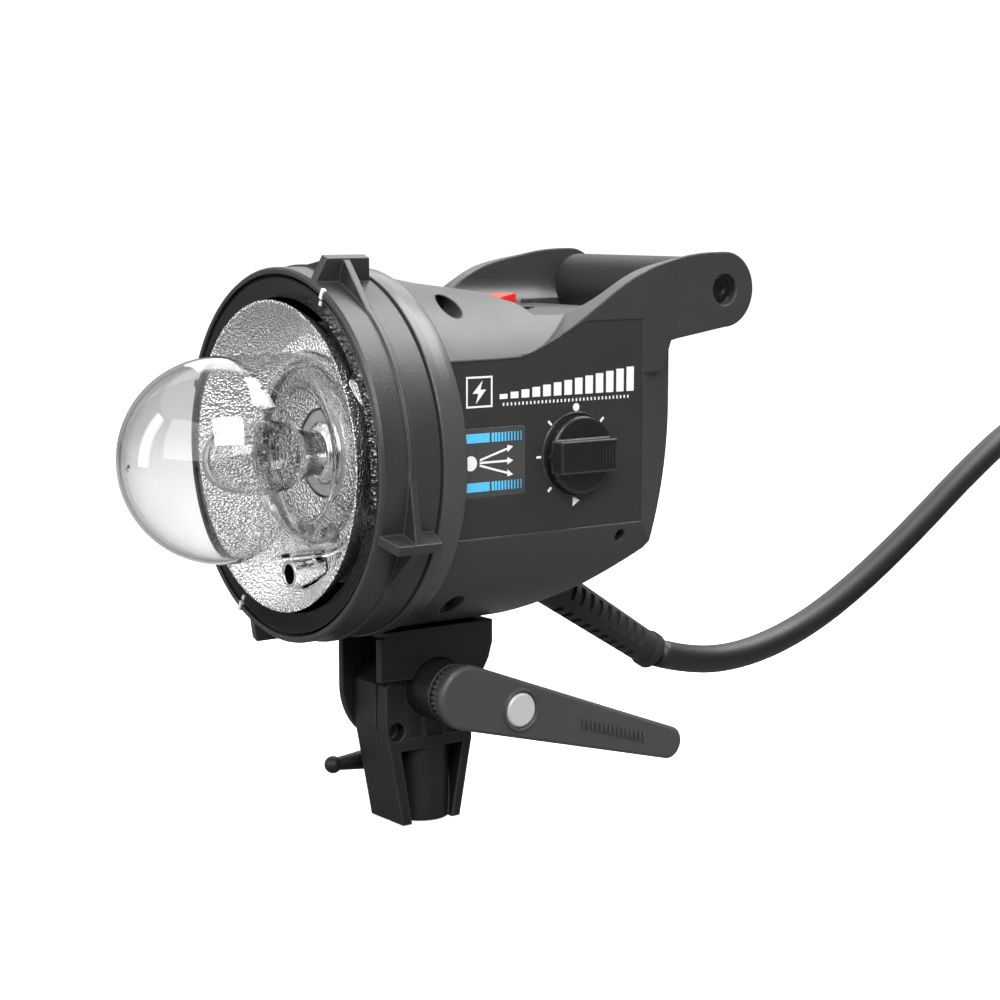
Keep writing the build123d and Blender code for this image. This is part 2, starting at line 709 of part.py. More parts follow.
# ---- stand socket casting ---------------------------------------------------------
block_half = 12.5
disc_t = 2.2
with BuildPart() as socket:
    with BuildSketch(Plane.YZ):
        with BuildLine():
            Polyline(
                (-26, 62), (-26, 44), (-17.5, 0), (12.5, 0), (19, 34), (19, 62), (11, 70), (-18, 70),
                close=True,
            )
        make_face()
    extrude(amount=block_half, both=True)
    with BuildSketch(Plane.YZ):
        with BuildLine():
            Polyline(
                (-18.5, 33), (-12.6, -1), (-30, -1), (-30, -5), (30, -5), (30, -1), (8.2, -1), (14.5, 33),
                close=True,
            )
        make_face()
    extrude(amount=block_half + 1, both=True, mode=Mode.SUBTRACT)
    with BuildSketch(Plane.XY):
        Circle(12.4)
    extrude(amount=36)
    with BuildSketch(Plane.YZ):
        Polygon((-18.8, 33.5), (-13, 1), (9, 1), (15, 33.5), align=None)
    extrude(amount=2.6, both=True)
    with BuildSketch(side_plane(block_half - 0.5)):
        with Locations((pivot_y, pivot_z)):
            Circle(boss_r)
    extrude(amount=16.8)
    with BuildSketch(side_plane(-8)):
        with Locations((0, 21)):
            Circle(7)
    extrude(amount=-11)
    with BuildSketch(side_plane(block_half - 1.4)):
        for y0, y1 in ((-17, -9.5), (-8, 0.5), (2, 9.5), (11, 17)):
            Polygon((y0, 66), (y1, 66), (y1 + 3.4, 38), (y0 + 3.4, 38), align=None)
        with Locations((pivot_y, pivot_z)):
            Circle(boss_r, mode=Mode.SUBTRACT)
    extrude(amount=2, mode=Mode.SUBTRACT)
    with BuildSketch(side_plane(-block_half + disc_t - 0.7)):
        with Locations((pivot_y, pivot_z)):
            Circle(14.2)
    extrude(amount=-5, mode=Mode.SUBTRACT)
    with BuildSketch(side_plane(-30)):
        with Locations((pivot_y, pivot_z)):
            Circle(4.0)
    extrude(amount=70, mode=Mode.SUBTRACT)
    with BuildSketch(Plane.XY.offset(-1)):
        Circle(stud_bore_r)
    extrude(amount=stud_bore_depth + 1, mode=Mode.SUBTRACT)
    with BuildSketch(side_plane(-6)):
        with Locations((0, 21)):
            Circle(4.1)
    extrude(amount=-8, mode=Mode.SUBTRACT)
    with BuildSketch(side_plane(-6)):
        with Locations((0, 21)):
            Circle(3.06)
    extrude(amount=-20, mode=Mode.SUBTRACT)
    with BuildSketch(side_plane(block_half - 6)):
        with Locations((-20.5, 42)):
            Circle(4.2)
    extrude(amount=10, mode=Mode.SUBTRACT)
    with BuildSketch(across(-30)):
        with Locations((5, 40)):
            Rectangle(1.6, 90)
    extrude(amount=-5.6, mode=Mode.SUBTRACT)
save(socket, "stand_socket")

with BuildPart() as friction_disc:
    with BuildSketch(side_plane(-inner_x + 0.25)):
        with Locations((pivot_y, pivot_z)):
            Circle(14)
            Circle(4.0, mode=Mode.SUBTRACT)
    extrude(amount=disc_t - 0.2)
save(friction_disc, "friction_disc")

bolt_end = 35.0
with BuildPart() as tilt_bolt:
    with BuildSketch(side_plane(-inner_x - yoke_t - 0.9)):
        with Locations((pivot_y, pivot_z)):
            Circle(3.94)
    extrude(amount=inner_x + yoke_t + 0.9 + bolt_end)
    with BuildSketch(side_plane(-inner_x - yoke_t - 1.7)):
        with Locations((pivot_y, pivot_z)):
            RegularPolygon(7, 6)
    extrude(amount=-5)
    with BuildSketch(side_plane(-inner_x - yoke_t - 1.7)):
        with Locations((pivot_y, pivot_z)):
            Circle(3.94)
    extrude(amount=2)
save(tilt_bolt, "tilt_bolt")

with BuildPart() as bolt_washer:
    with BuildSketch(side_plane(-inner_x - yoke_t - 0.2)):
        with Locations((pivot_y, pivot_z)):
            Circle(9)
            Circle(4.0, mode=Mode.SUBTRACT)
    extrude(amount=-1.5)
save(bolt_washer, "bolt_washer")

# ---- tilt lever ------------------------------------------------------------------
hub_x, lever_x, lever_t = block_half + 16.3 + gap, 36.0, 4.0
tip_y, tip_z, tip_r, lever_r = 111.0, 23.5, 7.5, 14.0
with BuildPart() as ratchet_hub:
    with BuildSketch(side_plane(hub_x)):
        with Locations((pivot_y, pivot_z)):
            Circle(11.4)
            with PolarLocations(11.4, 30):
                Rectangle(1.6, 1.2)
            Circle(4.0, mode=Mode.SUBTRACT)
    extrude(amount=lever_x - hub_x)
save(ratchet_hub, "ratchet_hub")

span = ((tip_y - pivot_y) ** 2 + (tip_z - pivot_z) ** 2) ** 0.5
lever_plane = Plane(
    origin=(lever_x, pivot_y, pivot_z), x_dir=(0, tip_y - pivot_y, tip_z - pivot_z), z_dir=(1, 0, 0)
)
hole_at, hole_r = 29.0, 7.9
with BuildPart() as clamp_lever:
    with BuildSketch(lever_plane):
        side_x, side_y = (lever_r - tip_r) / span, (1 - ((lever_r - tip_r) / span) ** 2) ** 0.5
        with BuildLine():
            upper_a = (lever_r * side_x, lever_r * side_y)
            upper_b = (span + tip_r * side_x, tip_r * side_y)
            Line(upper_a, upper_b)
            ThreePointArc(upper_b, (span + tip_r, 0), (upper_b[0], -upper_b[1]))
            Line((upper_b[0], -upper_b[1]), (upper_a[0], -upper_a[1]))
            ThreePointArc((upper_a[0], -upper_a[1]), (-lever_r, 0), upper_a)
        make_face()
    extrude(amount=lever_t)
    chamfer(clamp_lever.faces().sort_by(Axis.X)[-1].edges(), 1.2)
    with BuildSketch(lever_plane):
        with Locations((hole_at, 0)):
            Circle(hole_r + 1.4)
    extrude(amount=lever_t + 0.5)
    with BuildSketch(lever_plane.offset(-1)):
        with Locations((hole_at, 0)):
            Circle(hole_r)
    extrude(amount=lever_t + 5, mode=Mode.SUBTRACT)
save(clamp_lever, "clamp_lever")

cap_r = hole_r - 0.15
with BuildPart() as lever_cap:
    with BuildSketch(lever_plane.offset(0.4)):
        with Locations((hole_at, 0)):
            Circle(cap_r)
    extrude(amount=lever_t - 0.6)
    with BuildSketch(lever_plane.offset(lever_t - 0.2)):
        with Locations((hole_at, 0)):
            Circle(cap_r)
    extrude(amount=1.2, taper=35)
    fillet(lever_cap.edges().filter_by(GeomType.CIRCLE).sort_by(Axis.X)[-1], 1.0)
save(lever_cap, "lever_cap")

# ---- stud lock on the far side ------------------------------------------------------
with BuildPart() as stud_pad:
    with BuildSketch(side_plane(-stud_bore_r - 0.4)):
        with Locations((0, 21)):
            Circle(4.0)
    extrude(amount=-2.4)
save(stud_pad, "stud_pad")

with BuildPart() as stud_lever:
    with BuildSketch(side_plane(-11.2)):
        with Locations((0, 21)):
            Circle(3.0)
    extrude(amount=-10)
    with BuildSketch(side_plane(-19.0 - gap)):
        with Locations((0, 21)):
            Circle(6.5)
    extrude(amount=-12)
    with Locations(Plane(origin=(-26, -3, 21), z_dir=(0, -1, 0))):
        Cone(5.4, 2.9, 24, align=(Align.CENTER, Align.CENTER, Align.MIN))
    with Locations((-26, -29, 21)):
        Sphere(3.9)
save(stud_lever, "stud_lever")

# ---- cable: strain relief, free run, coil, plug --------------------------------------
relief_len = relief_dir.length
slot_rows, slot_pitch = 9, 6.2
with BuildPart() as relief:
    with BuildSketch(relief_axis):
        Circle(9.8)
    with BuildSketch(relief_axis.offset(relief_len)):
        Circle(7.9)
    loft()
    with BuildSketch(relief_axis.offset(relief_len - 4)):
        Circle(8.9)
    extrude(amount=4)
    for n in range(slot_rows):
        with BuildSketch(relief_axis.offset(relief_len - 10 - (slot_rows - n) * slot_pitch)):
            with PolarLocations(9.8, 4, start_angle=-14):
                Rectangle(6.0, 8.4)
        extrude(amount=3.0, mode=Mode.SUBTRACT)
    with BuildSketch(relief_axis.offset(relief_len - 3)):
        Circle(cable_d / 2)
    extrude(amount=4, mode=Mode.SUBTRACT)
save(relief, "strain_relief")

route = [
    (0, 135.4, 56.1), (0, 159, 48.5), (0, 194, 47.6), (0, 232, 56.5), (0, 270, 74), (0, 311, 99),
    (0, 352, 127), (0, 393, 151), (3, 436, 163), (5, 479, 158), (26, 517, 141), (65, 541, 117),
    (111, 542, 90), (151, 518, 67), (173, 481, 53), (176, 440, 47),
]
coil_x, coil_y = 88.0, 455.0


def cord(points):
    """A round cable swept along straight runs joined by tangent arcs."""
    runs = [(Vector(*b) - Vector(*a)).length for a, b in zip(points, points[1:])]
    radii = []
    for a, b, c, before, after in zip(points, points[1:], points[2:], runs, runs[1:]):
        turn = (Vector(*b) - Vector(*a)).get_angle(Vector(*c) - Vector(*b))
        radii.append(0.45 * min(before, after) / tan(radians(turn) / 2))
    with BuildPart() as cable:
        with BuildLine():
            FilletPolyline(*points, radius=radii)
        with BuildSketch(Plane(origin=points[0], z_dir=Vector(*points[1]) - Vector(*points[0]))):
            Circle(cable_d / 2)
        sweep()
    return cable


save(cord(route), "head_cable")

coil_mid_r, coil_band, coil_high = 75.0, 41.0, 40.0
with BuildPart() as coil:
    with BuildSketch(Plane(origin=(coil_x, coil_y, 0), x_dir=(1, 0, 0), z_dir=(0, -1, 0))):
        with Locations((coil_mid_r, coil_high / 2)):
            RectangleRounded(coil_band, coil_high, 7)
    revolve(axis=Axis((coil_x, coil_y, 0), (0, 0, 1)))
save(coil, "cable_coil")

tail = [(176.5, 445, 6.8), (175, 425, 7.1), (169.5, 405, 12), (168, 387, 17.6)]
save(cord(tail), "cable_tail")

plug_y = 388.5
plug_axis = Plane(origin=(168, plug_y, 18.5), x_dir=(1, 0, 0), z_dir=(0, -1, 0))
with BuildPart() as boot:
    with BuildSketch(plug_axis.offset(0)):
        Circle(8.5)
    with BuildSketch(plug_axis.offset(24)):
        Circle(11.5)
    loft()
    with BuildSketch(plug_axis.offset(-1)):
        Circle(cable_d / 2)
    extrude(amount=4, mode=Mode.SUBTRACT)
save(boot, "plug_boot")

with BuildPart() as plug_shell:
    with BuildSketch(plug_axis.offset(24)):
        Circle(16)
    extrude(amount=46)
    chamfer(plug_shell.edges().filter_by(GeomType.CIRCLE).sort_by(Axis.Y)[-1], 3)
    with BuildSketch(plug_axis.offset(52)):
        Circle(13.5)
    extrude(amount=20, mode=Mode.SUBTRACT)
save(plug_shell, "plug_shell")

with BuildPart() as plug_collar:
    with BuildSketch(plug_axis.offset(46)):
        Circle(18.4)
        with PolarLocations(18.4, 24):
            Circle(0.9, mode=Mode.SUBTRACT)
        Circle(16.05, mode=Mode.SUBTRACT)
    extrude(amount=16)
save(plug_collar, "plug_collar")

with BuildPart() as plug_insert:
    with BuildSketch(plug_axis.offset(52)):
        Circle(13.4)
    extrude(amount=6)
    with BuildSketch(plug_axis.offset(58)):
        with PolarLocations(8.5, 6):
            Circle(1.6)
        Circle(1.6)
    extrude(amount=10)
save(plug_insert, "plug_insert")
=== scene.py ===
import bmesh
import bpy
from math import cos, pi, radians, sin
from mathutils import Matrix, Vector
from mathutils.geometry import convex_hull_2d


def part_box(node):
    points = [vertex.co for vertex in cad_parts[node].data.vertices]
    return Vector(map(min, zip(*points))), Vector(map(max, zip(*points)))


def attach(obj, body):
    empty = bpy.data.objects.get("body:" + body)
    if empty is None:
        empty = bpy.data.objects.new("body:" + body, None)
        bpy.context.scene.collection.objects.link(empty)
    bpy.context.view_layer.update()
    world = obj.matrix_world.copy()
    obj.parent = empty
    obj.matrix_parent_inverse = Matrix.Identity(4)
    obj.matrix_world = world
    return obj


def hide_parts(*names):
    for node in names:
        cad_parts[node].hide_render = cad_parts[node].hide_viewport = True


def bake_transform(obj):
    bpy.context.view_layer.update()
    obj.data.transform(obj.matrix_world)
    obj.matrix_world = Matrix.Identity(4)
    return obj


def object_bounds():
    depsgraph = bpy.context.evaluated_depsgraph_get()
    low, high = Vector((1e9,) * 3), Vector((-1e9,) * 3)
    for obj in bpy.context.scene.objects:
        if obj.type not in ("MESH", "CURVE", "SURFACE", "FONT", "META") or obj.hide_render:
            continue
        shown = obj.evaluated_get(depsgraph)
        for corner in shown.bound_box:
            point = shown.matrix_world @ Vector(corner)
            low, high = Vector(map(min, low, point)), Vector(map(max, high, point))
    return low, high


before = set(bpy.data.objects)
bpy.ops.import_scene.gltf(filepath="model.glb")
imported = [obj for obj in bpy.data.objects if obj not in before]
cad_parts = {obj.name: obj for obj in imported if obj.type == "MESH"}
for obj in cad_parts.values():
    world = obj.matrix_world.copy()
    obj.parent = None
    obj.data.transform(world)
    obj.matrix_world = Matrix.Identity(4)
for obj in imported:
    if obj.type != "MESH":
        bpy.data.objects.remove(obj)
cad_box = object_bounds()

# ---- stand clamp -------------------------------------------------------------------
# A die-cast aluminium socket for a lighting stud, split and ribbed, with a black powder
# coat that leaves a fine orange-peel grain and wears pale along its corners.


def wired(tree, kind, at=(0, 0), **values):
    """A node of that kind in the tree, with its properties and input values set."""
    node = tree.nodes.new(kind)
    node.location = at
    for key, value in values.items():
        if hasattr(node, key):
            setattr(node, key, value)
        else:
            node.inputs[key.replace("_", " ").title()].default_value = value
    return node


def new_group(name, inputs, outputs, kind="ShaderNodeTree"):
    """A node group with its sockets made; returns the tree, its input node and its output node."""
    tree = bpy.data.node_groups.new(name, kind)
    for label, socket, value in inputs:
        tree.interface.new_socket(label, in_out="INPUT", socket_type=socket).default_value = value
    for label, socket in outputs:
        tree.interface.new_socket(label, in_out="OUTPUT", socket_type=socket)
    return tree, wired(tree, "NodeGroupInput", (-900, 0)), wired(tree, "NodeGroupOutput", (900, 0))


# The grain group lays an edge colour on the corners the bevel finds: wear on most materials, a painted
# highlight along the edges on the knob and the lock ring.
coat, given, made = new_group(
    "grain_with_wear_and_highlight",
    (
        ("Color", "NodeSocketColor", (0.05, 0.05, 0.05, 1)),
        ("Edge Color", "NodeSocketColor", (0.3, 0.3, 0.3, 1)),
        ("Mottle", "NodeSocketFloat", 0.15),
        ("Wear", "NodeSocketFloat", 0.3),
        ("Edge Radius", "NodeSocketFloat", 0.0008),
        ("Grain Scale", "NodeSocketFloat", 900.0),
        ("Grain Height", "NodeSocketFloat", 0.0001),
        ("Roughness", "NodeSocketFloat", 0.5),
    ),
    (("Color", "NodeSocketColor"), ("Roughness", "NodeSocketFloat"), ("Normal", "NodeSocketVector")),
)
place = wired(coat, "ShaderNodeTexCoord")
rounded = wired(coat, "ShaderNodeBevel", samples=6)
flat_face = wired(coat, "ShaderNodeNewGeometry")
facing = wired(coat, "ShaderNodeVectorMath", operation="DOT_PRODUCT")
corner = wired(coat, "ShaderNodeMapRange", from_min=0.995, from_max=0.90)
clouds = wired(coat, "ShaderNodeTexNoise", scale=38.0, detail=5.0, roughness=0.65)
grain = wired(coat, "ShaderNodeTexNoise", detail=2.0)
bump = wired(coat, "ShaderNodeBump", strength=1.0)
broken = wired(coat, "ShaderNodeMath", operation="MULTIPLY")
edge_wear_and_highlight = wired(coat, "ShaderNodeMath", operation="MULTIPLY", use_clamp=True)
patchy = wired(coat, "ShaderNodeMath", operation="MULTIPLY")
shade = wired(coat, "ShaderNodeMix", data_type="RGBA", blend_type="MIX")
trim = wired(coat, "ShaderNodeMix", data_type="RGBA", blend_type="MIX")
uneven = wired(coat, "ShaderNodeMath", operation="MULTIPLY_ADD")
uneven.inputs[1].default_value = 0.16
lowered = wired(coat, "ShaderNodeMath", operation="SUBTRACT")
lowered.inputs[1].default_value = 0.08
for a, b in (
    (given.outputs["Edge Radius"], rounded.inputs["Radius"]),
    (rounded.outputs["Normal"], facing.inputs[0]),
    (flat_face.outputs["Normal"], facing.inputs[1]),
    (facing.outputs["Value"], corner.inputs["Value"]),
    (place.outputs["Object"], clouds.inputs["Vector"]),
    (place.outputs["Object"], grain.inputs["Vector"]),
    (given.outputs["Grain Scale"], grain.inputs["Scale"]),
    (grain.outputs["Fac"], bump.inputs["Height"]),
    (given.outputs["Grain Height"], bump.inputs["Distance"]),
    (rounded.outputs["Normal"], bump.inputs["Normal"]),
    (corner.outputs["Result"], broken.inputs[0]),
    (clouds.outputs["Fac"], broken.inputs[1]),
    (broken.outputs["Value"], edge_wear_and_highlight.inputs[0]),
    (given.outputs["Wear"], edge_wear_and_highlight.inputs[1]),
    (clouds.outputs["Fac"], patchy.inputs[0]),
    (given.outputs["Mottle"], patchy.inputs[1]),
    (patchy.outputs["Value"], shade.inputs["Factor"]),
    (given.outputs["Color"], shade.inputs["A"]),
    (given.outputs["Edge Color"], shade.inputs["B"]),
    (edge_wear_and_highlight.outputs["Value"], trim.inputs["Factor"]),
    (shade.outputs["Result"], trim.inputs["A"]),
    (given.outputs["Edge Color"], trim.inputs["B"]),
    (trim.outputs["Result"], made.inputs["Color"]),
    (clouds.outputs["Fac"], uneven.inputs[0]),
    (given.outputs["Roughness"], lowered.inputs[0]),
    (lowered.outputs["Value"], uneven.inputs[2]),
    (uneven.outputs["Value"], made.inputs["Roughness"]),
    (bump.outputs["Normal"], made.inputs["Normal"]),
):
    coat.links.new(a, b)


def grey(level):
    return (level, level, level, 1)


def finish(
    name, color, edge_color, rough, mottle=0.1, wear=0.3, edge=0.0008, scale=900.0, height=0.0001, **plain
):
    """A material with the grain group wired in; its edge colour is wear on some materials and a painted
    highlight on others. Plain values go on the shader's own sockets.
    """
    material = bpy.data.materials.new(name)
    material.use_nodes = True
    surface = material.node_tree.nodes["Principled BSDF"]
    for key, value in plain.items():
        surface.inputs[key.replace("_", " ").title().replace("Ior", "IOR")].default_value = value
    group = wired(material.node_tree, "ShaderNodeGroup", (-300, 0), node_tree=coat)
    for key, value in (
        ("Color", color), ("Edge Color", edge_color), ("Mottle", mottle), ("Wear", wear),
        ("Edge Radius", edge), ("Grain Scale", scale), ("Grain Height", height), ("Roughness", rough),
    ):
        group.inputs[key].default_value = value
    for key, socket in (("Color", "Base Color"), ("Roughness", "Roughness"), ("Normal", "Normal")):
        if edge or height or key != "Normal":
            material.node_tree.links.new(group.outputs[key], surface.inputs[socket])
    return material


def clad(material, *names):
    """Gives the CAD nodes of those names the material."""
    for name in names:
        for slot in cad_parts[name].material_slots:
            slot.material = material


cast_coat = finish(
    "black_powder_coat", grey(0.007), grey(0.10), 0.44, mottle=0.05, edge=0.0015,
    scale=1300.0, height=0.00022, wear=0.6, specular_ior_level=0.35,
)
steel = finish(
    "zinc_plated_steel", grey(0.55), grey(0.85), 0.30,
    mottle=0.3, scale=2500.0, height=0.00002, metallic=1.0,
)
fibre = finish(
    "friction_fibre", (0.10, 0.06, 0.03, 1), (0.35, 0.25, 0.15, 1), 0.85,
    scale=1500.0, height=0.0003,
)
clad(cast_coat, "stand_socket", "tilt_yoke")
clad(steel, "tilt_bolt", "bolt_washer")
clad(fibre, "friction_disc")

# ---- tilt lever --------------------------------------------------------------------
# A glass-filled nylon lever pressed on a toothed hub; it clamps the tilt joint. Its
# moulding is satin and faintly grained, with a domed aluminium cap in a raised lip.
nylon = finish(
    "glass_filled_nylon", grey(0.040), grey(0.16), 0.42,
    wear=0.3, edge=0.0016, scale=1100.0, height=0.00012,
)
cap_metal = finish(
    "satin_cap", grey(0.50), grey(0.7), 0.42,
    mottle=0.2, scale=1800.0, height=0.00003, metallic=0.2,
)
clad(nylon, "clamp_lever", "ratchet_hub")
clad(cap_metal, "lever_cap")

# ---- stud lock ---------------------------------------------------------------------
# A ball-ended lever that turns a brass-tipped screw in against the stand's stud.
brass = finish(
    "turned_brass", (0.62, 0.42, 0.17, 1), (0.9, 0.7, 0.4, 1), 0.3,
    scale=2500.0, height=0.00002, metallic=1.0,
)
clad(cast_coat, "stud_lever")
clad(brass, "stud_pad", "zoom_pinion")

# ---- casing ------------------------------------------------------------------------
# Two moulded half shells, screwed together from the sides, with a fine satin grain; a
# smoother inset panel on each side carries the dial and the badge. The side and rear panels
# are given a darker grey than the shells: painted shade for flat faces that get less top light.
shell_plastic = finish(
    "moulded_shell", grey(0.028), grey(0.10), 0.42,
    wear=0.12, edge=0.0014, scale=2200.0, height=0.00006,
)
# Darker than the shell plastic: painted shade on the side and rear panels.
shaded_panel_plastic = finish(
    "inset_panel_shaded", grey(0.017), grey(0.06), 0.50,
    wear=0.05, edge=0.0003, scale=2600.0, height=0.00005,
)
bezel_satin = finish(
    "satin_bezel", grey(0.045), grey(0.14), 0.30,
    wear=0.2, edge=0.0012, scale=2400.0, height=0.00004,
)
screw_steel = finish(
    "blacked_screw", grey(0.012), grey(0.10), 0.40,
    wear=0.4, scale=2500.0, height=0.00003, metallic=0.7,
)
clad(shell_plastic, "shell_right", "shell_left")
clad(bezel_satin, "front_bezel")
clad(shaded_panel_plastic, "side_panel_right", "side_panel_left", "rear_panel")
clad(screw_steel, "shell_screws", "handle_bolts", "yoke_screws")

# ---- handle ------------------------------------------------------------------------
# A soft rubber bar bolted between the arms.
rubber = finish("soft_rubber", grey(0.010), grey(0.04), 0.60, wear=0.2, scale=1600.0, height=0.00015)
clad(rubber, "handle_grip", "strain_relief")

# ---- lamp switch -------------------------------------------------------------------
# A red rocker in a black frame, glossy moulded plastic.
rocker_red = finish(
    "rocker_red", (0.62, 0.010, 0.006, 1), (0.8, 0.1, 0.05, 1), 0.20,
    scale=500.0, height=0.00002, coat_weight=0.5,
)
black_plastic = finish("black_plastic", grey(0.010), grey(0.06), 0.30, scale=1500.0, height=0.00004)
clad(rocker_red, "switch_rocker")
clad(black_plastic, "switch_frame", "shaft_bush", "plug_boot", "plug_insert", "terminal_block", "zoom_rack")

# ---- lock ring and throat ----------------------------------------------------------
# The bayonet ring turns in the mouth of the casing; its moulding is fine-grained black,
# and its corners, the front lip among them, are painted a paler grey: a painted highlight.
# Inside it the throat is a glossy black cone.
# The pale edge colour here is a painted highlight on the ring's corners and front lip.
ring_plastic_lit_edges = finish(
    "ring_plastic_lit_edges", grey(0.018), grey(0.14), 0.40,
    wear=0.5, edge=0.0009, scale=1300.0, height=0.00012,
)
gloss_black = finish("gloss_black", grey(0.004), grey(0.02), 0.16, wear=0.1, scale=300.0, height=0.0)
white_paint = finish(
    "white_paint", grey(0.80), grey(0.9), 0.45,
    wear=0.0, edge=0.0001, scale=1500.0, height=0.00003,
)
clad(ring_plastic_lit_edges, "lock_ring")
clad(gloss_black, "throat")


def piece(name, mesh, material, body):
    """A finished piece of that mesh, which rides on the body."""
    mesh.name = name
    mesh.materials.clear()
    mesh.materials.append(material)
    item = bpy.data.objects.new(name, mesh)
    bpy.context.scene.collection.objects.link(item)
    if body:
        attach(item, body)
    return item


def grown(name, inputs, build):
    """A plain mesh from a Geometry Nodes tree wired by build(); inputs are (label, socket, value)."""
    geometry = (("Geometry", "NodeSocketGeometry"),)
    tree, inward, outward = new_group(name, inputs, geometry, "GeometryNodeTree")
    solid = wired(tree, "GeometryNodeRealizeInstances")
    tree.links.new(build(tree, inward), solid.inputs["Geometry"])
    dressed = wired(tree, "GeometryNodeSetMaterial")
    tree.links.new(solid.outputs["Geometry"], dressed.inputs["Geometry"])
    dressed.inputs["Material"].default_value = white_paint
    tree.links.new(dressed.outputs["Geometry"], outward.inputs["Geometry"])
    seed = bpy.data.objects.new(name, bpy.data.meshes.new(name))
    bpy.context.scene.collection.objects.link(seed)
    modifier = seed.modifiers.new(name, "NODES")
    modifier.node_group = tree
    sockets = {item.name: item.identifier for item in tree.interface.items_tree if item.in_out == "INPUT"}
    for label, _, value in inputs:
        modifier[sockets[label]] = value
    mesh = bpy.data.meshes.new_from_object(seed.evaluated_get(bpy.context.evaluated_depsgraph_get()))
    seed.modifiers.remove(modifier)
    bpy.data.objects.remove(seed)
    return mesh


def marks_round(axis):
    """Bars set radially round the X or Y axis, each turned to its own angle."""

    def build(tree, inward):
        points = wired(tree, "GeometryNodePoints")
        index = wired(tree, "GeometryNodeInputIndex")
        angle = wired(tree, "ShaderNodeMath", operation="MULTIPLY_ADD")
        rise, run = (wired(tree, "ShaderNodeMath", operation=o) for o in ("SINE", "COSINE"))
        out, up = (wired(tree, "ShaderNodeMath", operation="MULTIPLY") for _ in range(2))
        at, turned, size = (wired(tree, "ShaderNodeCombineXYZ") for _ in range(3))
        bar = wired(tree, "GeometryNodeMeshCube")
        placed = wired(tree, "GeometryNodeInstanceOnPoints")
        moved = wired(tree, "GeometryNodeTransform")
        first, last = ("X", "Y") if axis == "Y" else ("Y", "X")
        for a, b in (
            (inward.outputs["Count"], points.inputs["Count"]),
            (index.outputs["Index"], angle.inputs[0]),
            (inward.outputs["Step"], angle.inputs[1]),
            (inward.outputs["Start"], angle.inputs[2]),
            (angle.outputs["Value"], run.inputs[0]),
            (angle.outputs["Value"], rise.inputs[0]),
            (run.outputs["Value"], out.inputs[0]),
            (inward.outputs["Radius"], out.inputs[1]),
            (rise.outputs["Value"], up.inputs[0]),
            (inward.outputs["Radius"], up.inputs[1]),
            (out.outputs["Value"], at.inputs[first]),
            (up.outputs["Value"], at.inputs["Z"]),
            (at.outputs["Vector"], points.inputs["Position"]),
            (inward.outputs["Length"], size.inputs[first]),
            (inward.outputs["Width"], size.inputs["Z"]),
            (inward.outputs["Thickness"], size.inputs[last]),
            (size.outputs["Vector"], bar.inputs["Size"]),
            (points.outputs["Points"], placed.inputs["Points"]),
            (bar.outputs["Mesh"], placed.inputs["Instance"]),
            (turned.outputs["Vector"], placed.inputs["Rotation"]),
            (placed.outputs["Instances"], moved.inputs["Geometry"]),
            (inward.outputs["Centre"], moved.inputs["Translation"]),
        ):
            tree.links.new(a, b)
        if axis == "Y":
            flip = wired(tree, "ShaderNodeMath", operation="MULTIPLY")
            flip.inputs[1].default_value = -1.0
            tree.links.new(angle.outputs["Value"], flip.inputs[0])
            tree.links.new(flip.outputs["Value"], turned.inputs["Y"])
        else:
            tree.links.new(angle.outputs["Value"], turned.inputs["X"])
        return moved.outputs["Geometry"]

    return build


def round_marks(count, start, step, radius, length, width, thickness, centre):
    return (
        ("Count", "NodeSocketInt", count), ("Start", "NodeSocketFloat", start),
        ("Step", "NodeSocketFloat", step),
        ("Radius", "NodeSocketFloat", radius), ("Length", "NodeSocketFloat", length),
        ("Width", "NodeSocketFloat", width), ("Thickness", "NodeSocketFloat", thickness),
        ("Centre", "NodeSocketVector", centre),
    )


ring_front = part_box("lock_ring")[0][1]
mouth_low, mouth_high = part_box("throat")
axis_z = (mouth_low[2] + mouth_high[2]) / 2
mark_heading = radians(63)
ring_mark_r, throat_mark_r = 0.0764, 0.0722
index_marks = round_marks(
    2, mark_heading, pi, ring_mark_r, 0.0042, 0.0018, 0.0016, (0, ring_front + 0.0006, axis_z),
)
piece("ring_index", grown("ring_index", index_marks, marks_round("Y")), white_paint, "lock_ring")
throat_marks = round_marks(
    2, mark_heading, pi, throat_mark_r, 0.0020, 0.0014, 0.0010, (0, mouth_low[1] + 0.0003, axis_z),
)
piece("throat_index", grown("throat_index", throat_marks, marks_round("Y")), white_paint, "head")

# ---- lamp carriage -----------------------------------------------------------------
# A bright hammered aluminium dish on a steel plate, which slides on two rods and carries
# the ring-shaped flash tube, the modelling lamp and the glass dome.
peened, given, made = new_group(
    "peened_metal",
    (("Scale", "NodeSocketFloat", 600.0), ("Depth", "NodeSocketFloat", 0.0004)),
    (("Normal", "NodeSocketVector"),),
)
place = wired(peened, "ShaderNodeTexCoord")
cells = wired(peened, "ShaderNodeTexVoronoi", feature="F1")
dented = wired(peened, "ShaderNodeBump", strength=1.0)
for a, b in (
    (place.outputs["Object"], cells.inputs["Vector"]),
    (given.outputs["Scale"], cells.inputs["Scale"]),
    (cells.outputs["Distance"], dented.inputs["Height"]),
    (given.outputs["Depth"], dented.inputs["Distance"]),
    (dented.outputs["Normal"], made.inputs["Normal"]),
):
    peened.links.new(a, b)
hammered = finish("hammered_aluminium", grey(0.92), grey(0.98), 0.20, mottle=0.2, wear=0.0, metallic=1.0)
dents = wired(hammered.node_tree, "ShaderNodeGroup", (-300, -300), node_tree=peened)
dents.inputs["Scale"].default_value, dents.inputs["Depth"].default_value = 760.0, 0.0012
bright = hammered.node_tree.nodes["Principled BSDF"]
hammered.node_tree.links.new(dents.outputs["Normal"], bright.inputs["Normal"])
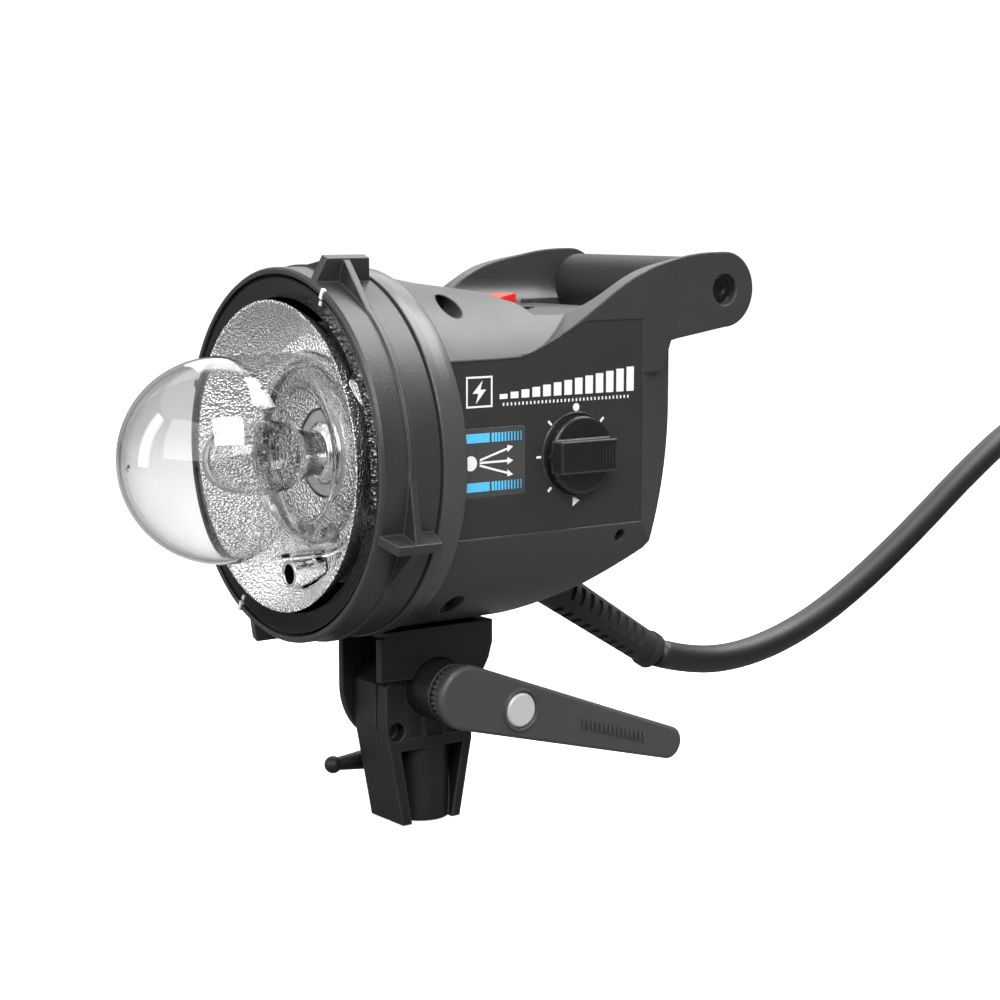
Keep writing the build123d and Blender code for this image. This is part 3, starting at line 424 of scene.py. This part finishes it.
polished = finish(
    "polished_tube", grey(0.85), grey(0.95), 0.10,
    scale=2500.0, height=0.00001, metallic=1.0,
)
ceramic = finish("fired_ceramic", grey(0.72), grey(0.9), 0.5, scale=1200.0, height=0.0001)
board_green = finish(
    "board_lacquer", (0.01, 0.12, 0.04, 1), (0.1, 0.3, 0.12, 1), 0.3,
    scale=300.0, height=0.0001,
)
clad(hammered, "reflector_dish")
clad(polished, "umbrella_tube", "guide_rods", "dome_clip_ring", "lamp_cap")
clad(
    steel, "carriage_plate", "front_bulkhead", "rear_bulkhead", "shaft_bracket", "knob_shaft", "rod_bushes"
)
clad(ceramic, "lamp_socket", "tube_terminals")
clad(black_plastic, "trigger_coil")
clad(board_green, "control_board")

clear = dict(mottle=0.0, wear=0.0, edge=0.0, height=0.0, transmission_weight=1.0, ior=1.46)
dome_glass = finish("dome_glass", grey(0.86), grey(0.90), 0.0, **clear)
tube_glass = finish("tube_glass", grey(0.96), grey(1.0), 0.02, **clear)
clad(dome_glass, "glass_dome")
clad(tube_glass, "flash_tube", "modelling_lamp")

wire = finish("trigger_wire", grey(0.45), grey(0.7), 0.35, scale=2000.0, height=0.00002, metallic=1.0)
tube_low, tube_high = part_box("flash_tube")
tube_r = 0.0056
ring_mid = (tube_high[0] - tube_low[0]) / 2 - tube_r
bulb_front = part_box("modelling_lamp")[0][1]


def wound(tree, inward):
    """A thin wire wound round a ring: the ring's points are pushed out by an angle that runs faster."""
    loop = wired(tree, "GeometryNodeCurvePrimitiveCircle", mode="RADIUS")
    index = wired(tree, "GeometryNodeInputIndex")
    share = wired(tree, "ShaderNodeMath", operation="DIVIDE")
    around, twist = (wired(tree, "ShaderNodeMath", operation="MULTIPLY") for _ in range(2))
    around.inputs[1].default_value = 2 * pi
    c1, s1, c2, s2 = (wired(tree, "ShaderNodeMath", operation=o) for o in ("COSINE", "SINE") * 2)
    reach = wired(tree, "ShaderNodeMath", operation="MULTIPLY_ADD")
    deep, x, z = (wired(tree, "ShaderNodeMath", operation="MULTIPLY") for _ in range(3))
    at = wired(tree, "ShaderNodeCombineXYZ")
    bent = wired(tree, "GeometryNodeSetPosition")
    section = wired(tree, "GeometryNodeCurvePrimitiveCircle", mode="RADIUS")
    section.inputs["Resolution"].default_value = 6
    drawn = wired(tree, "GeometryNodeCurveToMesh")
    moved = wired(tree, "GeometryNodeTransform")
    for a, b in (
        (inward.outputs["Points"], loop.inputs["Resolution"]),
        (index.outputs["Index"], share.inputs[0]),
        (inward.outputs["Points"], share.inputs[1]),
        (share.outputs["Value"], around.inputs[0]),
        (around.outputs["Value"], twist.inputs[0]),
        (inward.outputs["Turns"], twist.inputs[1]),
        (around.outputs["Value"], c1.inputs[0]),
        (around.outputs["Value"], s1.inputs[0]),
        (twist.outputs["Value"], c2.inputs[0]),
        (twist.outputs["Value"], s2.inputs[0]),
        (c2.outputs["Value"], reach.inputs[0]),
        (inward.outputs["Offset"], reach.inputs[1]),
        (inward.outputs["Ring"], reach.inputs[2]),
        (s2.outputs["Value"], deep.inputs[0]),
        (inward.outputs["Offset"], deep.inputs[1]),
        (c1.outputs["Value"], x.inputs[0]),
        (reach.outputs["Value"], x.inputs[1]),
        (s1.outputs["Value"], z.inputs[0]),
        (reach.outputs["Value"], z.inputs[1]),
        (x.outputs["Value"], at.inputs["X"]),
        (deep.outputs["Value"], at.inputs["Y"]),
        (z.outputs["Value"], at.inputs["Z"]),
        (loop.outputs["Curve"], bent.inputs["Geometry"]),
        (at.outputs["Vector"], bent.inputs["Position"]),
        (bent.outputs["Geometry"], drawn.inputs["Curve"]),
        (inward.outputs["Wire"], section.inputs["Radius"]),
        (section.outputs["Curve"], drawn.inputs["Profile Curve"]),
        (drawn.outputs["Mesh"], moved.inputs["Geometry"]),
        (inward.outputs["Centre"], moved.inputs["Translation"]),
    ):
        tree.links.new(a, b)
    return moved.outputs["Geometry"]


def winding(points, turns, ring, offset, thick, centre):
    return (
        ("Points", "NodeSocketInt", points), ("Turns", "NodeSocketFloat", turns),
        ("Ring", "NodeSocketFloat", ring), ("Offset", "NodeSocketFloat", offset),
        ("Wire", "NodeSocketFloat", thick), ("Centre", "NodeSocketVector", centre),
    )


tube_y = tube_low[1] + tube_r
trigger = winding(720, 14.0, ring_mid, tube_r + 0.0002, 0.00012, (0, tube_y, axis_z))
piece("trigger_wire", grown("trigger_wire", trigger, wound), wire, "lamp_carriage")
filament = winding(500, 40.0, 0.0052, 0.0007, 0.00014, (0, bulb_front + 0.026, axis_z))
piece("filament", grown("filament", filament, wound), wire, "lamp_carriage")

# ---- zoom knob and dial ------------------------------------------------------------
# A black moulded knob with a broad wing; its corners carry a pale edge colour, a painted
# highlight along the wing's edges. Round it white ticks, a dot and a pointer are printed on
# the panel; a scale of rising bars and a plain flash sign stand above.
# The pale edge colour and the strong wear value paint a highlight along the knob's corners.
knob_plastic_lit_edges = finish(
    "knob_plastic_lit_edges", grey(0.007), grey(0.22), 0.26,
    mottle=0.0, wear=0.6, edge=0.0016, scale=1500.0, height=0.00003,
)
clad(knob_plastic_lit_edges, "zoom_knob")
panel_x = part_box("side_panel_right")[1][0]
knob_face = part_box("zoom_knob")[1][0]
knob_y, knob_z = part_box("knob_shaft")[0][1] + 0.003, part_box("knob_shaft")[0][2] + 0.003
dial = round_marks(6, 0.0, pi / 4, 0.0197, 0.0024, 0.0010, 0.0002, (panel_x + 0.00005, knob_y, knob_z))
dial_mesh = grown("dial_ticks", dial, marks_round("X"))
print_sunk = 0.00002


def printed(name, shapes, x, material, body="head"):
    """Flat shapes of (y, z) points in millimetres, printed a tenth thick on the plane at x."""
    bm = bmesh.new()
    for shape in shapes:
        lower = [bm.verts.new((x, y / 1000, z / 1000)) for y, z in shape]
        upper = [bm.verts.new((x + 0.0001, y / 1000, z / 1000)) for y, z in shape]
        bm.faces.new(lower)
        bm.faces.new(list(reversed(upper)))
        for k in range(len(shape)):
            n = (k + 1) % len(shape)
            bm.faces.new((lower[n], lower[k], upper[k], upper[n]))
    bmesh.ops.recalc_face_normals(bm, faces=bm.faces)
    mesh = bpy.data.meshes.new(name)
    bm.to_mesh(mesh)
    bm.free()
    return piece(name, mesh, material, body)


def plate(y0, z0, y1, z1):
    return [(y0, z0), (y1, z0), (y1, z1), (y0, z1)]


def disc(y, z, r, sides=28):
    return [(y + r * cos(2 * pi * k / sides), z + r * sin(2 * pi * k / sides)) for k in range(sides)]


ky, kz = knob_y * 1000, knob_z * 1000
piece("dial_ticks", dial_mesh, white_paint, "head")
printed(
    "dial_signs",
    [disc(ky, kz + 19.9, 1.7), [(ky - 1.6, kz - 22.0), (ky + 2.0, kz - 19.7), (ky - 1.6, kz - 17.4)]],
    panel_x - print_sunk, white_paint,
)
sign_y, sign_z, sign_w = -12.2, 192.0, 13.2
frame_bars = [
    plate(sign_y - sign_w / 2, sign_z + 5.6, sign_y + sign_w / 2, sign_z + 6.4),
    plate(sign_y - sign_w / 2, sign_z - 6.4, sign_y + sign_w / 2, sign_z - 5.6),
    plate(sign_y - sign_w / 2, sign_z - 5.6, sign_y - sign_w / 2 + 0.8, sign_z + 5.6),
    plate(sign_y + sign_w / 2 - 0.8, sign_z - 5.6, sign_y + sign_w / 2, sign_z + 5.6),
]
bolt = [
    (sign_y + 1.6, sign_z + 4.6), (sign_y - 3.4, sign_z - 0.6), (sign_y - 0.4, sign_z - 0.6),
    (sign_y - 1.8, sign_z - 4.8), (sign_y + 3.4, sign_z + 0.9), (sign_y + 0.5, sign_z + 0.9),
]
printed("flash_sign", frame_bars + [bolt], panel_x - print_sunk, white_paint)


def bar_row(tree, inward):
    """Bars in a row along Y, standing on one line, with width and height changing evenly to the last."""
    points = wired(tree, "GeometryNodePoints")
    index = wired(tree, "GeometryNodeInputIndex")
    along = wired(tree, "ShaderNodeMath", operation="MULTIPLY")
    wide, tall = (wired(tree, "ShaderNodeMath", operation="MULTIPLY_ADD") for _ in range(2))
    half = wired(tree, "ShaderNodeMath", operation="MULTIPLY")
    half.inputs[1].default_value = 0.5
    lean = wired(tree, "ShaderNodeMath", operation="MULTIPLY_ADD")
    at, scale = wired(tree, "ShaderNodeCombineXYZ"), wired(tree, "ShaderNodeCombineXYZ")
    bar = wired(tree, "GeometryNodeMeshCube")
    bar.inputs["Size"].default_value = (1, 1, 1)
    placed = wired(tree, "GeometryNodeInstanceOnPoints")
    moved = wired(tree, "GeometryNodeTransform")
    for a, b in (
        (inward.outputs["Count"], points.inputs["Count"]),
        (index.outputs["Index"], along.inputs[0]),
        (inward.outputs["Pitch"], along.inputs[1]),
        (index.outputs["Index"], wide.inputs[0]),
        (inward.outputs["Widen"], wide.inputs[1]),
        (inward.outputs["Width"], wide.inputs[2]),
        (index.outputs["Index"], tall.inputs[0]),
        (inward.outputs["Grow"], tall.inputs[1]),
        (inward.outputs["Height"], tall.inputs[2]),
        (tall.outputs["Value"], half.inputs[0]),
        (along.outputs["Value"], at.inputs["Y"]),
        (along.outputs["Value"], lean.inputs[0]),
        (inward.outputs["Slope"], lean.inputs[1]),
        (half.outputs["Value"], lean.inputs[2]),
        (lean.outputs["Value"], at.inputs["Z"]),
        (at.outputs["Vector"], points.inputs["Position"]),
        (inward.outputs["Thickness"], scale.inputs["X"]),
        (wide.outputs["Value"], scale.inputs["Y"]),
        (tall.outputs["Value"], scale.inputs["Z"]),
        (points.outputs["Points"], placed.inputs["Points"]),
        (bar.outputs["Mesh"], placed.inputs["Instance"]),
        (scale.outputs["Vector"], placed.inputs["Scale"]),
        (placed.outputs["Instances"], moved.inputs["Geometry"]),
        (inward.outputs["Corner"], moved.inputs["Translation"]),
    ):
        tree.links.new(a, b)
    return moved.outputs["Geometry"]


def row(count, pitch, width, widen, height, grow, corner_at, slope=0.0, thick=0.0002):
    return (
        ("Count", "NodeSocketInt", count), ("Pitch", "NodeSocketFloat", pitch),
        ("Width", "NodeSocketFloat", width), ("Widen", "NodeSocketFloat", widen),
        ("Height", "NodeSocketFloat", height), ("Grow", "NodeSocketFloat", grow),
        ("Slope", "NodeSocketFloat", slope), ("Thickness", "NodeSocketFloat", thick),
        ("Corner", "NodeSocketVector", corner_at),
    )


grip_ridges = row(5, 0.0017, 0.0006, 0.0, 0.0086, 0.0, (knob_face, knob_y + 0.0062, knob_z - 0.0043))
piece("knob_ridges", grown("knob_ridges", grip_ridges, bar_row), knob_plastic_lit_edges, "zoom_knob")
lever_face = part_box("clamp_lever")[1][0]
ribs = row(15, 0.0025, 0.0009, 0.0, 0.0044, 0.0, (lever_face, 0.060, 0.0375), slope=-0.3186, thick=0.0007)
piece("lever_ribs", grown("lever_ribs", ribs, bar_row), nylon, "tilt_lever")


def hoop(tree, inward):
    """A plain ring of round wire that faces along X."""
    loop = wired(tree, "GeometryNodeCurvePrimitiveCircle", mode="RADIUS")
    loop.inputs["Resolution"].default_value = 72
    section = wired(tree, "GeometryNodeCurvePrimitiveCircle", mode="RADIUS")
    section.inputs["Resolution"].default_value = 12
    drawn, moved = wired(tree, "GeometryNodeCurveToMesh"), wired(tree, "GeometryNodeTransform")
    moved.inputs["Rotation"].default_value = (0, pi / 2, 0)
    for a, b in (
        (inward.outputs["Ring"], loop.inputs["Radius"]),
        (inward.outputs["Wire"], section.inputs["Radius"]),
        (loop.outputs["Curve"], drawn.inputs["Curve"]),
        (section.outputs["Curve"], drawn.inputs["Profile Curve"]),
        (drawn.outputs["Mesh"], moved.inputs["Geometry"]),
        (inward.outputs["Centre"], moved.inputs["Translation"]),
    ):
        tree.links.new(a, b)
    return moved.outputs["Geometry"]


cap_low, cap_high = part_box("lever_cap")
for name, ring, thick, centre, stuff, slot, body in (
    ("cap_lip", (cap_high[1] - cap_low[1]) / 2 + 0.0011, 0.0006,
     (lever_face, (cap_low[1] + cap_high[1]) / 2, (cap_low[2] + cap_high[2]) / 2),
     nylon, "lever_grey", "tilt_lever"),
    ("knob_seat", 0.0176, 0.0006, (panel_x, knob_y, knob_z), knob_plastic_lit_edges, "gloss_black", "head"),
):
    sockets = (
        ("Ring", "NodeSocketFloat", ring), ("Wire", "NodeSocketFloat", thick),
        ("Centre", "NodeSocketVector", centre),
    )
    piece(name, grown(name, sockets, hoop), stuff, body)
power_bars = row(13, 0.0056, 0.0040, 0.0, 0.0020, 0.00070, (panel_x, 0.0, 0.1886))
piece("power_bars", grown("power_bars", power_bars, bar_row), white_paint, "head")
fine_scale = row(34, 0.0020, 0.0007, 0.0, 0.0013, 0.0, (panel_x, 0.0, 0.1857))
piece("fine_scale", grown("fine_scale", fine_scale, bar_row), white_paint, "head")

# ---- badge -------------------------------------------------------------------------
# A printed film set in the panel: blue bars that break up into thinner and thinner lines,
# and between them a sign of a lamp whose beam widens.
badge_film = finish("badge_film", grey(0.040), grey(0.12), 0.30, mottle=0.3, scale=900.0, height=0.00003)
sky_print = finish(
    "sky_print", (0.085, 0.50, 0.83, 1), (0.2, 0.7, 0.95, 1), 0.40,
    wear=0.0, edge=0.0001, scale=1500.0, height=0.00003,
)
clad(badge_film, "zoom_badge")
badge_low, badge_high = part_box("zoom_badge")
film_x = badge_high[0]
by, bz, bt = badge_low[1], badge_low[2], badge_high[2]
solid_bars = []
for name, low in (("upper", bt - 0.0062), ("lower", bz + 0.0026)):
    solid_bars.append(plate((by + 0.0018) * 1000, low * 1000, (by + 0.0170) * 1000, low * 1000 + 3.8))
    stripes = row(10, 0.0016, 0.00125, -0.0001, 0.0038, 0.0, (film_x, by + 0.0186, low))
    piece("stripes_" + name, grown("stripes_" + name, stripes, bar_row), sky_print, "head")
printed("badge_bars", solid_bars, film_x - print_sunk, sky_print)
my, mz = by * 1000, (bz + bt) * 500
beam = [disc(my + 7.5, mz, 3.1)]
for slope in (-0.36, 0.0, 0.36):
    beam.append([(my + 12, mz + 12 * slope * 0.25 - 0.45), (my + 26, mz + 14 * slope - 0.45),
                 (my + 26, mz + 14 * slope + 0.45), (my + 12, mz + 12 * slope * 0.25 + 0.45)])
    beam.append([
        (my + 26, mz + 14 * slope - 1.5), (my + 29, mz + 16.2 * slope), (my + 26, mz + 14 * slope + 1.5),
    ])
printed("beam_sign", beam, film_x - print_sunk, white_paint)

# ---- cable -------------------------------------------------------------------------
# A heavy rubber flash cable, 13.5 mm thick and about 4 m long, from the strain relief
# over to a neat coil, tied twice, that ends in the pack's round plug.
cable_d = 0.0135
route = [
    (0, 135.4, 56.1), (0, 159, 48.5), (0, 194, 47.6), (0, 232, 56.5), (0, 270, 74), (0, 311, 99),
    (0, 352, 127), (0, 393, 151), (3, 436, 163), (5, 479, 158), (26, 517, 141), (65, 541, 117),
    (111, 542, 90), (151, 518, 67), (173, 481, 53), (176, 440, 47),
]
coil_x, coil_y = 88, 455
layers = [(82, 33.25), (88.75, 20), (75, 20), (61.25, 20), (61.25, 6.75), (75, 6.75), (88.75, 6.75)]
steps = 24
for turn in range(len(layers)):
    radius, height = layers[turn]
    next_radius, next_height = layers[min(turn + 1, len(layers) - 1)]
    for step in range(2 if turn == 0 else 0, steps):
        share = max(0.0, (step - steps + 8) / 8)
        r = (radius + (next_radius - radius) * share) * 1.006
        angle = -2 * pi * step / steps - 0.17
        rise = (next_height - height) * share
        route.append((coil_x + r * cos(angle), coil_y + r * sin(angle), height + rise))
route += [(175, 425, 7.1), (169.5, 405, 12), (168, 387, 17.6)]
line = bpy.data.curves.new("cable_line", "CURVE")
line.dimensions = "3D"
line.resolution_u = 8
spline = line.splines.new("NURBS")
spline.points.add(len(route) - 1)
for point, at in zip(spline.points, route):
    point.co = (at[0] / 1000, at[1] / 1000, at[2] / 1000, 1)
spline.order_u = 3
spline.use_endpoint_u = True
guide = bpy.data.objects.new("cable_line", line)
bpy.context.scene.collection.objects.link(guide)
bare = bpy.data.meshes.new_from_object(guide)
path = [v.co.copy() for v in bare.vertices]
bpy.data.objects.remove(guide)


def tube(points, radius, sides):
    """A closed tube of that radius along the points, its rings turned no more than the line turns."""
    bm = bmesh.new()
    side = Vector((1, 0, 0))
    rings = []
    for i, at in enumerate(points):
        along = (points[min(i + 1, len(points) - 1)] - points[max(i - 1, 0)]).normalized()
        side = (side - along * side.dot(along)).normalized()
        other = along.cross(side)
        rings.append([
            bm.verts.new(at + radius * (cos(2 * pi * k / sides) * side + sin(2 * pi * k / sides) * other))
            for k in range(sides)
        ])
    for a, b in zip(rings, rings[1:]):
        for k in range(sides):
            bm.faces.new((a[k], a[(k + 1) % sides], b[(k + 1) % sides], b[k]))
    bm.faces.new(list(reversed(rings[0])))
    bm.faces.new(rings[-1])
    for face in bm.faces:
        face.smooth = len(face.verts) == 4
    mesh = bpy.data.meshes.new("tube")
    bm.to_mesh(mesh)
    bm.free()
    return mesh


cable_rubber = finish(
    "cable_rubber", grey(0.006), grey(0.05), 0.46,
    wear=0.0, edge=0.0, scale=1500.0, height=0.00008,
)
webbing = finish("tie_webbing", grey(0.015), grey(0.08), 0.8, edge=0.0002, scale=1800.0, height=0.0004)
cable = piece("flash_cable", tube(path, cable_d / 2, 28), cable_rubber, None)
for name, heading in (("coil_tie_near", radians(110)), ("coil_tie_far", radians(250))):
    out, along = Vector((cos(heading), sin(heading), 0)), Vector((-sin(heading), cos(heading), 0))
    bm = bmesh.new()
    loops = []
    for grow, floor_z in ((6.7, 0.5), (7.4, 0.02)):
        spots = [
            (r + grow * cos(t * pi / 12), h + grow * sin(t * pi / 12)) for r, h in layers for t in range(24)
        ]
        hull = [spots[k] for k in convex_hull_2d([Vector(s) for s in spots])]
        loops.append([(r, max(h, floor_z)) for r, h in hull])
    size = min(len(loops[0]), len(loops[1]))
    sheets = []
    for loop in loops:
        for edge_at in (-0.006, 0.006):
            sheets.append([
                bm.verts.new(
                    Vector((coil_x / 1000, coil_y / 1000, h / 1000)) + out * (r / 1000) + along * edge_at
                )
                for r, h in loop[:size]
            ])
    for a, b in ((0, 1), (1, 3), (3, 2), (2, 0)):
        for k in range(size):
            n = (k + 1) % size
            bm.faces.new((sheets[a][k], sheets[a][n], sheets[b][n], sheets[b][k]))
    bmesh.ops.recalc_face_normals(bm, faces=bm.faces)
    mesh = bpy.data.meshes.new(name)
    bm.to_mesh(mesh)
    bm.free()
    piece(name, mesh, webbing, "stand_clamp")
plug_metal = finish(
    "anodised_plug", grey(0.30), grey(0.6), 0.32,
    wear=0.5, scale=2400.0, height=0.00002, metallic=1.0,
)
clad(plug_metal, "plug_shell")
clad(black_plastic, "plug_collar")
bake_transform(cable)
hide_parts("head_cable", "cable_coil", "cable_tail")

# ---- stage -------------------------------------------------------------------------
# A paper floor under the clamp, soft light from above and both sides, the camera and the
# world. To straight sight the floor and the world are plain white. To all other light the
# floor is a mid grey and the world dim, so that they don't wash out the black mouldings;
# light that has come through glass finds white again where the camera faces, and in the
# world in front of the lamp as well.
swing, dip, roll = 0.935843267, 0.134767237, 0.000703759
bm = bmesh.new()
bmesh.ops.create_grid(bm, x_segments=2, y_segments=2, size=40)
bmesh.ops.translate(bm, verts=bm.verts, vec=(0, 0, cad_box[0][2] - 0.0005))
floor_mesh = bpy.data.meshes.new("floor")
bm.to_mesh(floor_mesh)
bm.free()
floor = bpy.data.objects.new("floor", floor_mesh)
bpy.context.scene.collection.objects.link(floor)
paper = finish(
    "floor_paper", grey(0.20), grey(0.24), 0.9,
    wear=0.0, edge=0.0, scale=200.0, height=0.0001, specular_ior_level=0.0,
)
seen = paper.node_tree
sight = wired(seen, "ShaderNodeLightPath")
spot = wired(seen, "ShaderNodeTexCoord")
away = wired(seen, "ShaderNodeVectorMath", operation="NORMALIZE")
beyond = wired(seen, "ShaderNodeVectorMath", operation="DOT_PRODUCT")
beyond.inputs[1].default_value = (-sin(swing), cos(swing), 0)
far = wired(seen, "ShaderNodeMapRange", from_min=0.75, from_max=0.97, to_max=0.60)
through = wired(seen, "ShaderNodeMath", operation="MULTIPLY")
plain = wired(seen, "ShaderNodeMath", operation="MAXIMUM")
glow = wired(seen, "ShaderNodeEmission", strength=0.60)
lit = wired(seen, "ShaderNodeBsdfDiffuse")
lit.inputs["Color"].default_value = grey(0.9)
both = wired(seen, "ShaderNodeAddShader")
chosen = wired(seen, "ShaderNodeMixShader")
for a, b in (
    (spot.outputs["Object"], away.inputs[0]),
    (away.outputs["Vector"], beyond.inputs[0]),
    (beyond.outputs["Value"], far.inputs["Value"]),
    (far.outputs["Result"], through.inputs[0]),
    (sight.outputs["Is Transmission Ray"], through.inputs[1]),
    (sight.outputs["Is Camera Ray"], plain.inputs[0]),
    (through.outputs["Value"], plain.inputs[1]),
    (glow.outputs["Emission"], both.inputs[0]),
    (lit.outputs["BSDF"], both.inputs[1]),
    (plain.outputs["Value"], chosen.inputs["Fac"]),
    (seen.nodes["Principled BSDF"].outputs["BSDF"], chosen.inputs[1]),
    (both.outputs["Shader"], chosen.inputs[2]),
    (chosen.outputs["Shader"], seen.nodes["Material Output"].inputs["Surface"]),
):
    seen.links.new(a, b)
floor_mesh.materials.append(paper)

for name, at, aim, size, power in (
    ("back_top_box", (0.15, 0.84, 1.36), (0, 0, 0.2), (1.0, 0.8), 24),
    ("left_top_box", (-1.0, 0.75, 1.15), (0, 0, 0.2), (1.2, 1.0), 9),
    ("side_fill", (1.05, -0.45, 1.05), (0, 0, 0.15), (0.8, 0.8), 22),
    ("tall_window", (-0.60, -1.05, 0.50), (0, -0.09, 0.16), (0.30, 0.9), 5),
    ("front_fill", (0.55, -1.6, 0.95), (0, 0, 0.16), (1.7, 1.3), 17),
):
    lamp = bpy.data.lights.new(name, "AREA")
    lamp.shape, lamp.size, lamp.size_y, lamp.energy = "RECTANGLE", size[0], size[1], power
    holder = bpy.data.objects.new(name, lamp)
    holder.location = at
    holder.rotation_euler = (Vector(at) - Vector(aim)).to_track_quat("Z", "Y").to_euler()
    holder.visible_camera = False
    bpy.context.scene.collection.objects.link(holder)
sun = bpy.data.lights.new("ceiling", "SUN")
sun.energy, sun.angle = 1.2, radians(100)
ceiling = bpy.data.objects.new("ceiling", sun)
bpy.context.scene.collection.objects.link(ceiling)

back = Vector((sin(swing) * cos(dip), -cos(swing) * cos(dip), sin(dip)))
right = Vector((cos(swing), sin(swing), 0))
up = back.cross(right)
right, up = cos(roll) * right + sin(roll) * up, cos(roll) * up - sin(roll) * right
camera = bpy.data.objects.new("camera", bpy.data.cameras.new("camera"))
camera.data.lens, camera.data.sensor_width = 77.756, 36.0
camera.matrix_world = Matrix((right, up, back)).transposed().to_4x4()
camera.location = (0.77046, -0.52380, 0.26635)
bpy.context.scene.collection.objects.link(camera)
bpy.context.scene.camera = camera

world = bpy.data.worlds.new("studio")
world.use_nodes = True
sky = world.node_tree
sight = wired(sky, "ShaderNodeLightPath")
heading = wired(sky, "ShaderNodeTexCoord")
toward = wired(sky, "ShaderNodeVectorMath", operation="DOT_PRODUCT")
toward.inputs[1].default_value = -back
behind = wired(sky, "ShaderNodeMapRange", from_min=0.75, from_max=0.97, to_max=0.80)
ahead = wired(sky, "ShaderNodeVectorMath", operation="DOT_PRODUCT")
ahead.inputs[1].default_value = Vector((0.0, -0.95, 0.3))
front = wired(sky, "ShaderNodeMapRange", from_min=0.1, from_max=0.7, to_max=0.95)
either = wired(sky, "ShaderNodeMath", operation="MAXIMUM")
through = wired(sky, "ShaderNodeMath", operation="MULTIPLY")
plain = wired(sky, "ShaderNodeMath", operation="MAXIMUM")
glow = wired(sky, "ShaderNodeMapRange", to_min=0.17, to_max=1.05)
for a, b in (
    (heading.outputs["Generated"], toward.inputs[0]),
    (toward.outputs["Value"], behind.inputs["Value"]),
    (heading.outputs["Generated"], ahead.inputs[0]),
    (ahead.outputs["Value"], front.inputs["Value"]),
    (behind.outputs["Result"], either.inputs[0]),
    (front.outputs["Result"], either.inputs[1]),
    (either.outputs["Value"], through.inputs[0]),
    (sight.outputs["Is Transmission Ray"], through.inputs[1]),
    (sight.outputs["Is Camera Ray"], plain.inputs[0]),
    (through.outputs["Value"], plain.inputs[1]),
    (plain.outputs["Value"], glow.inputs["Value"]),
    (glow.outputs["Result"], sky.nodes["Background"].inputs["Strength"]),
):
    sky.links.new(a, b)
sky.nodes["Background"].inputs["Color"].default_value = grey(1.0)
bpy.context.scene.world = world
bpy.context.scene.view_settings.view_transform = "Standard"
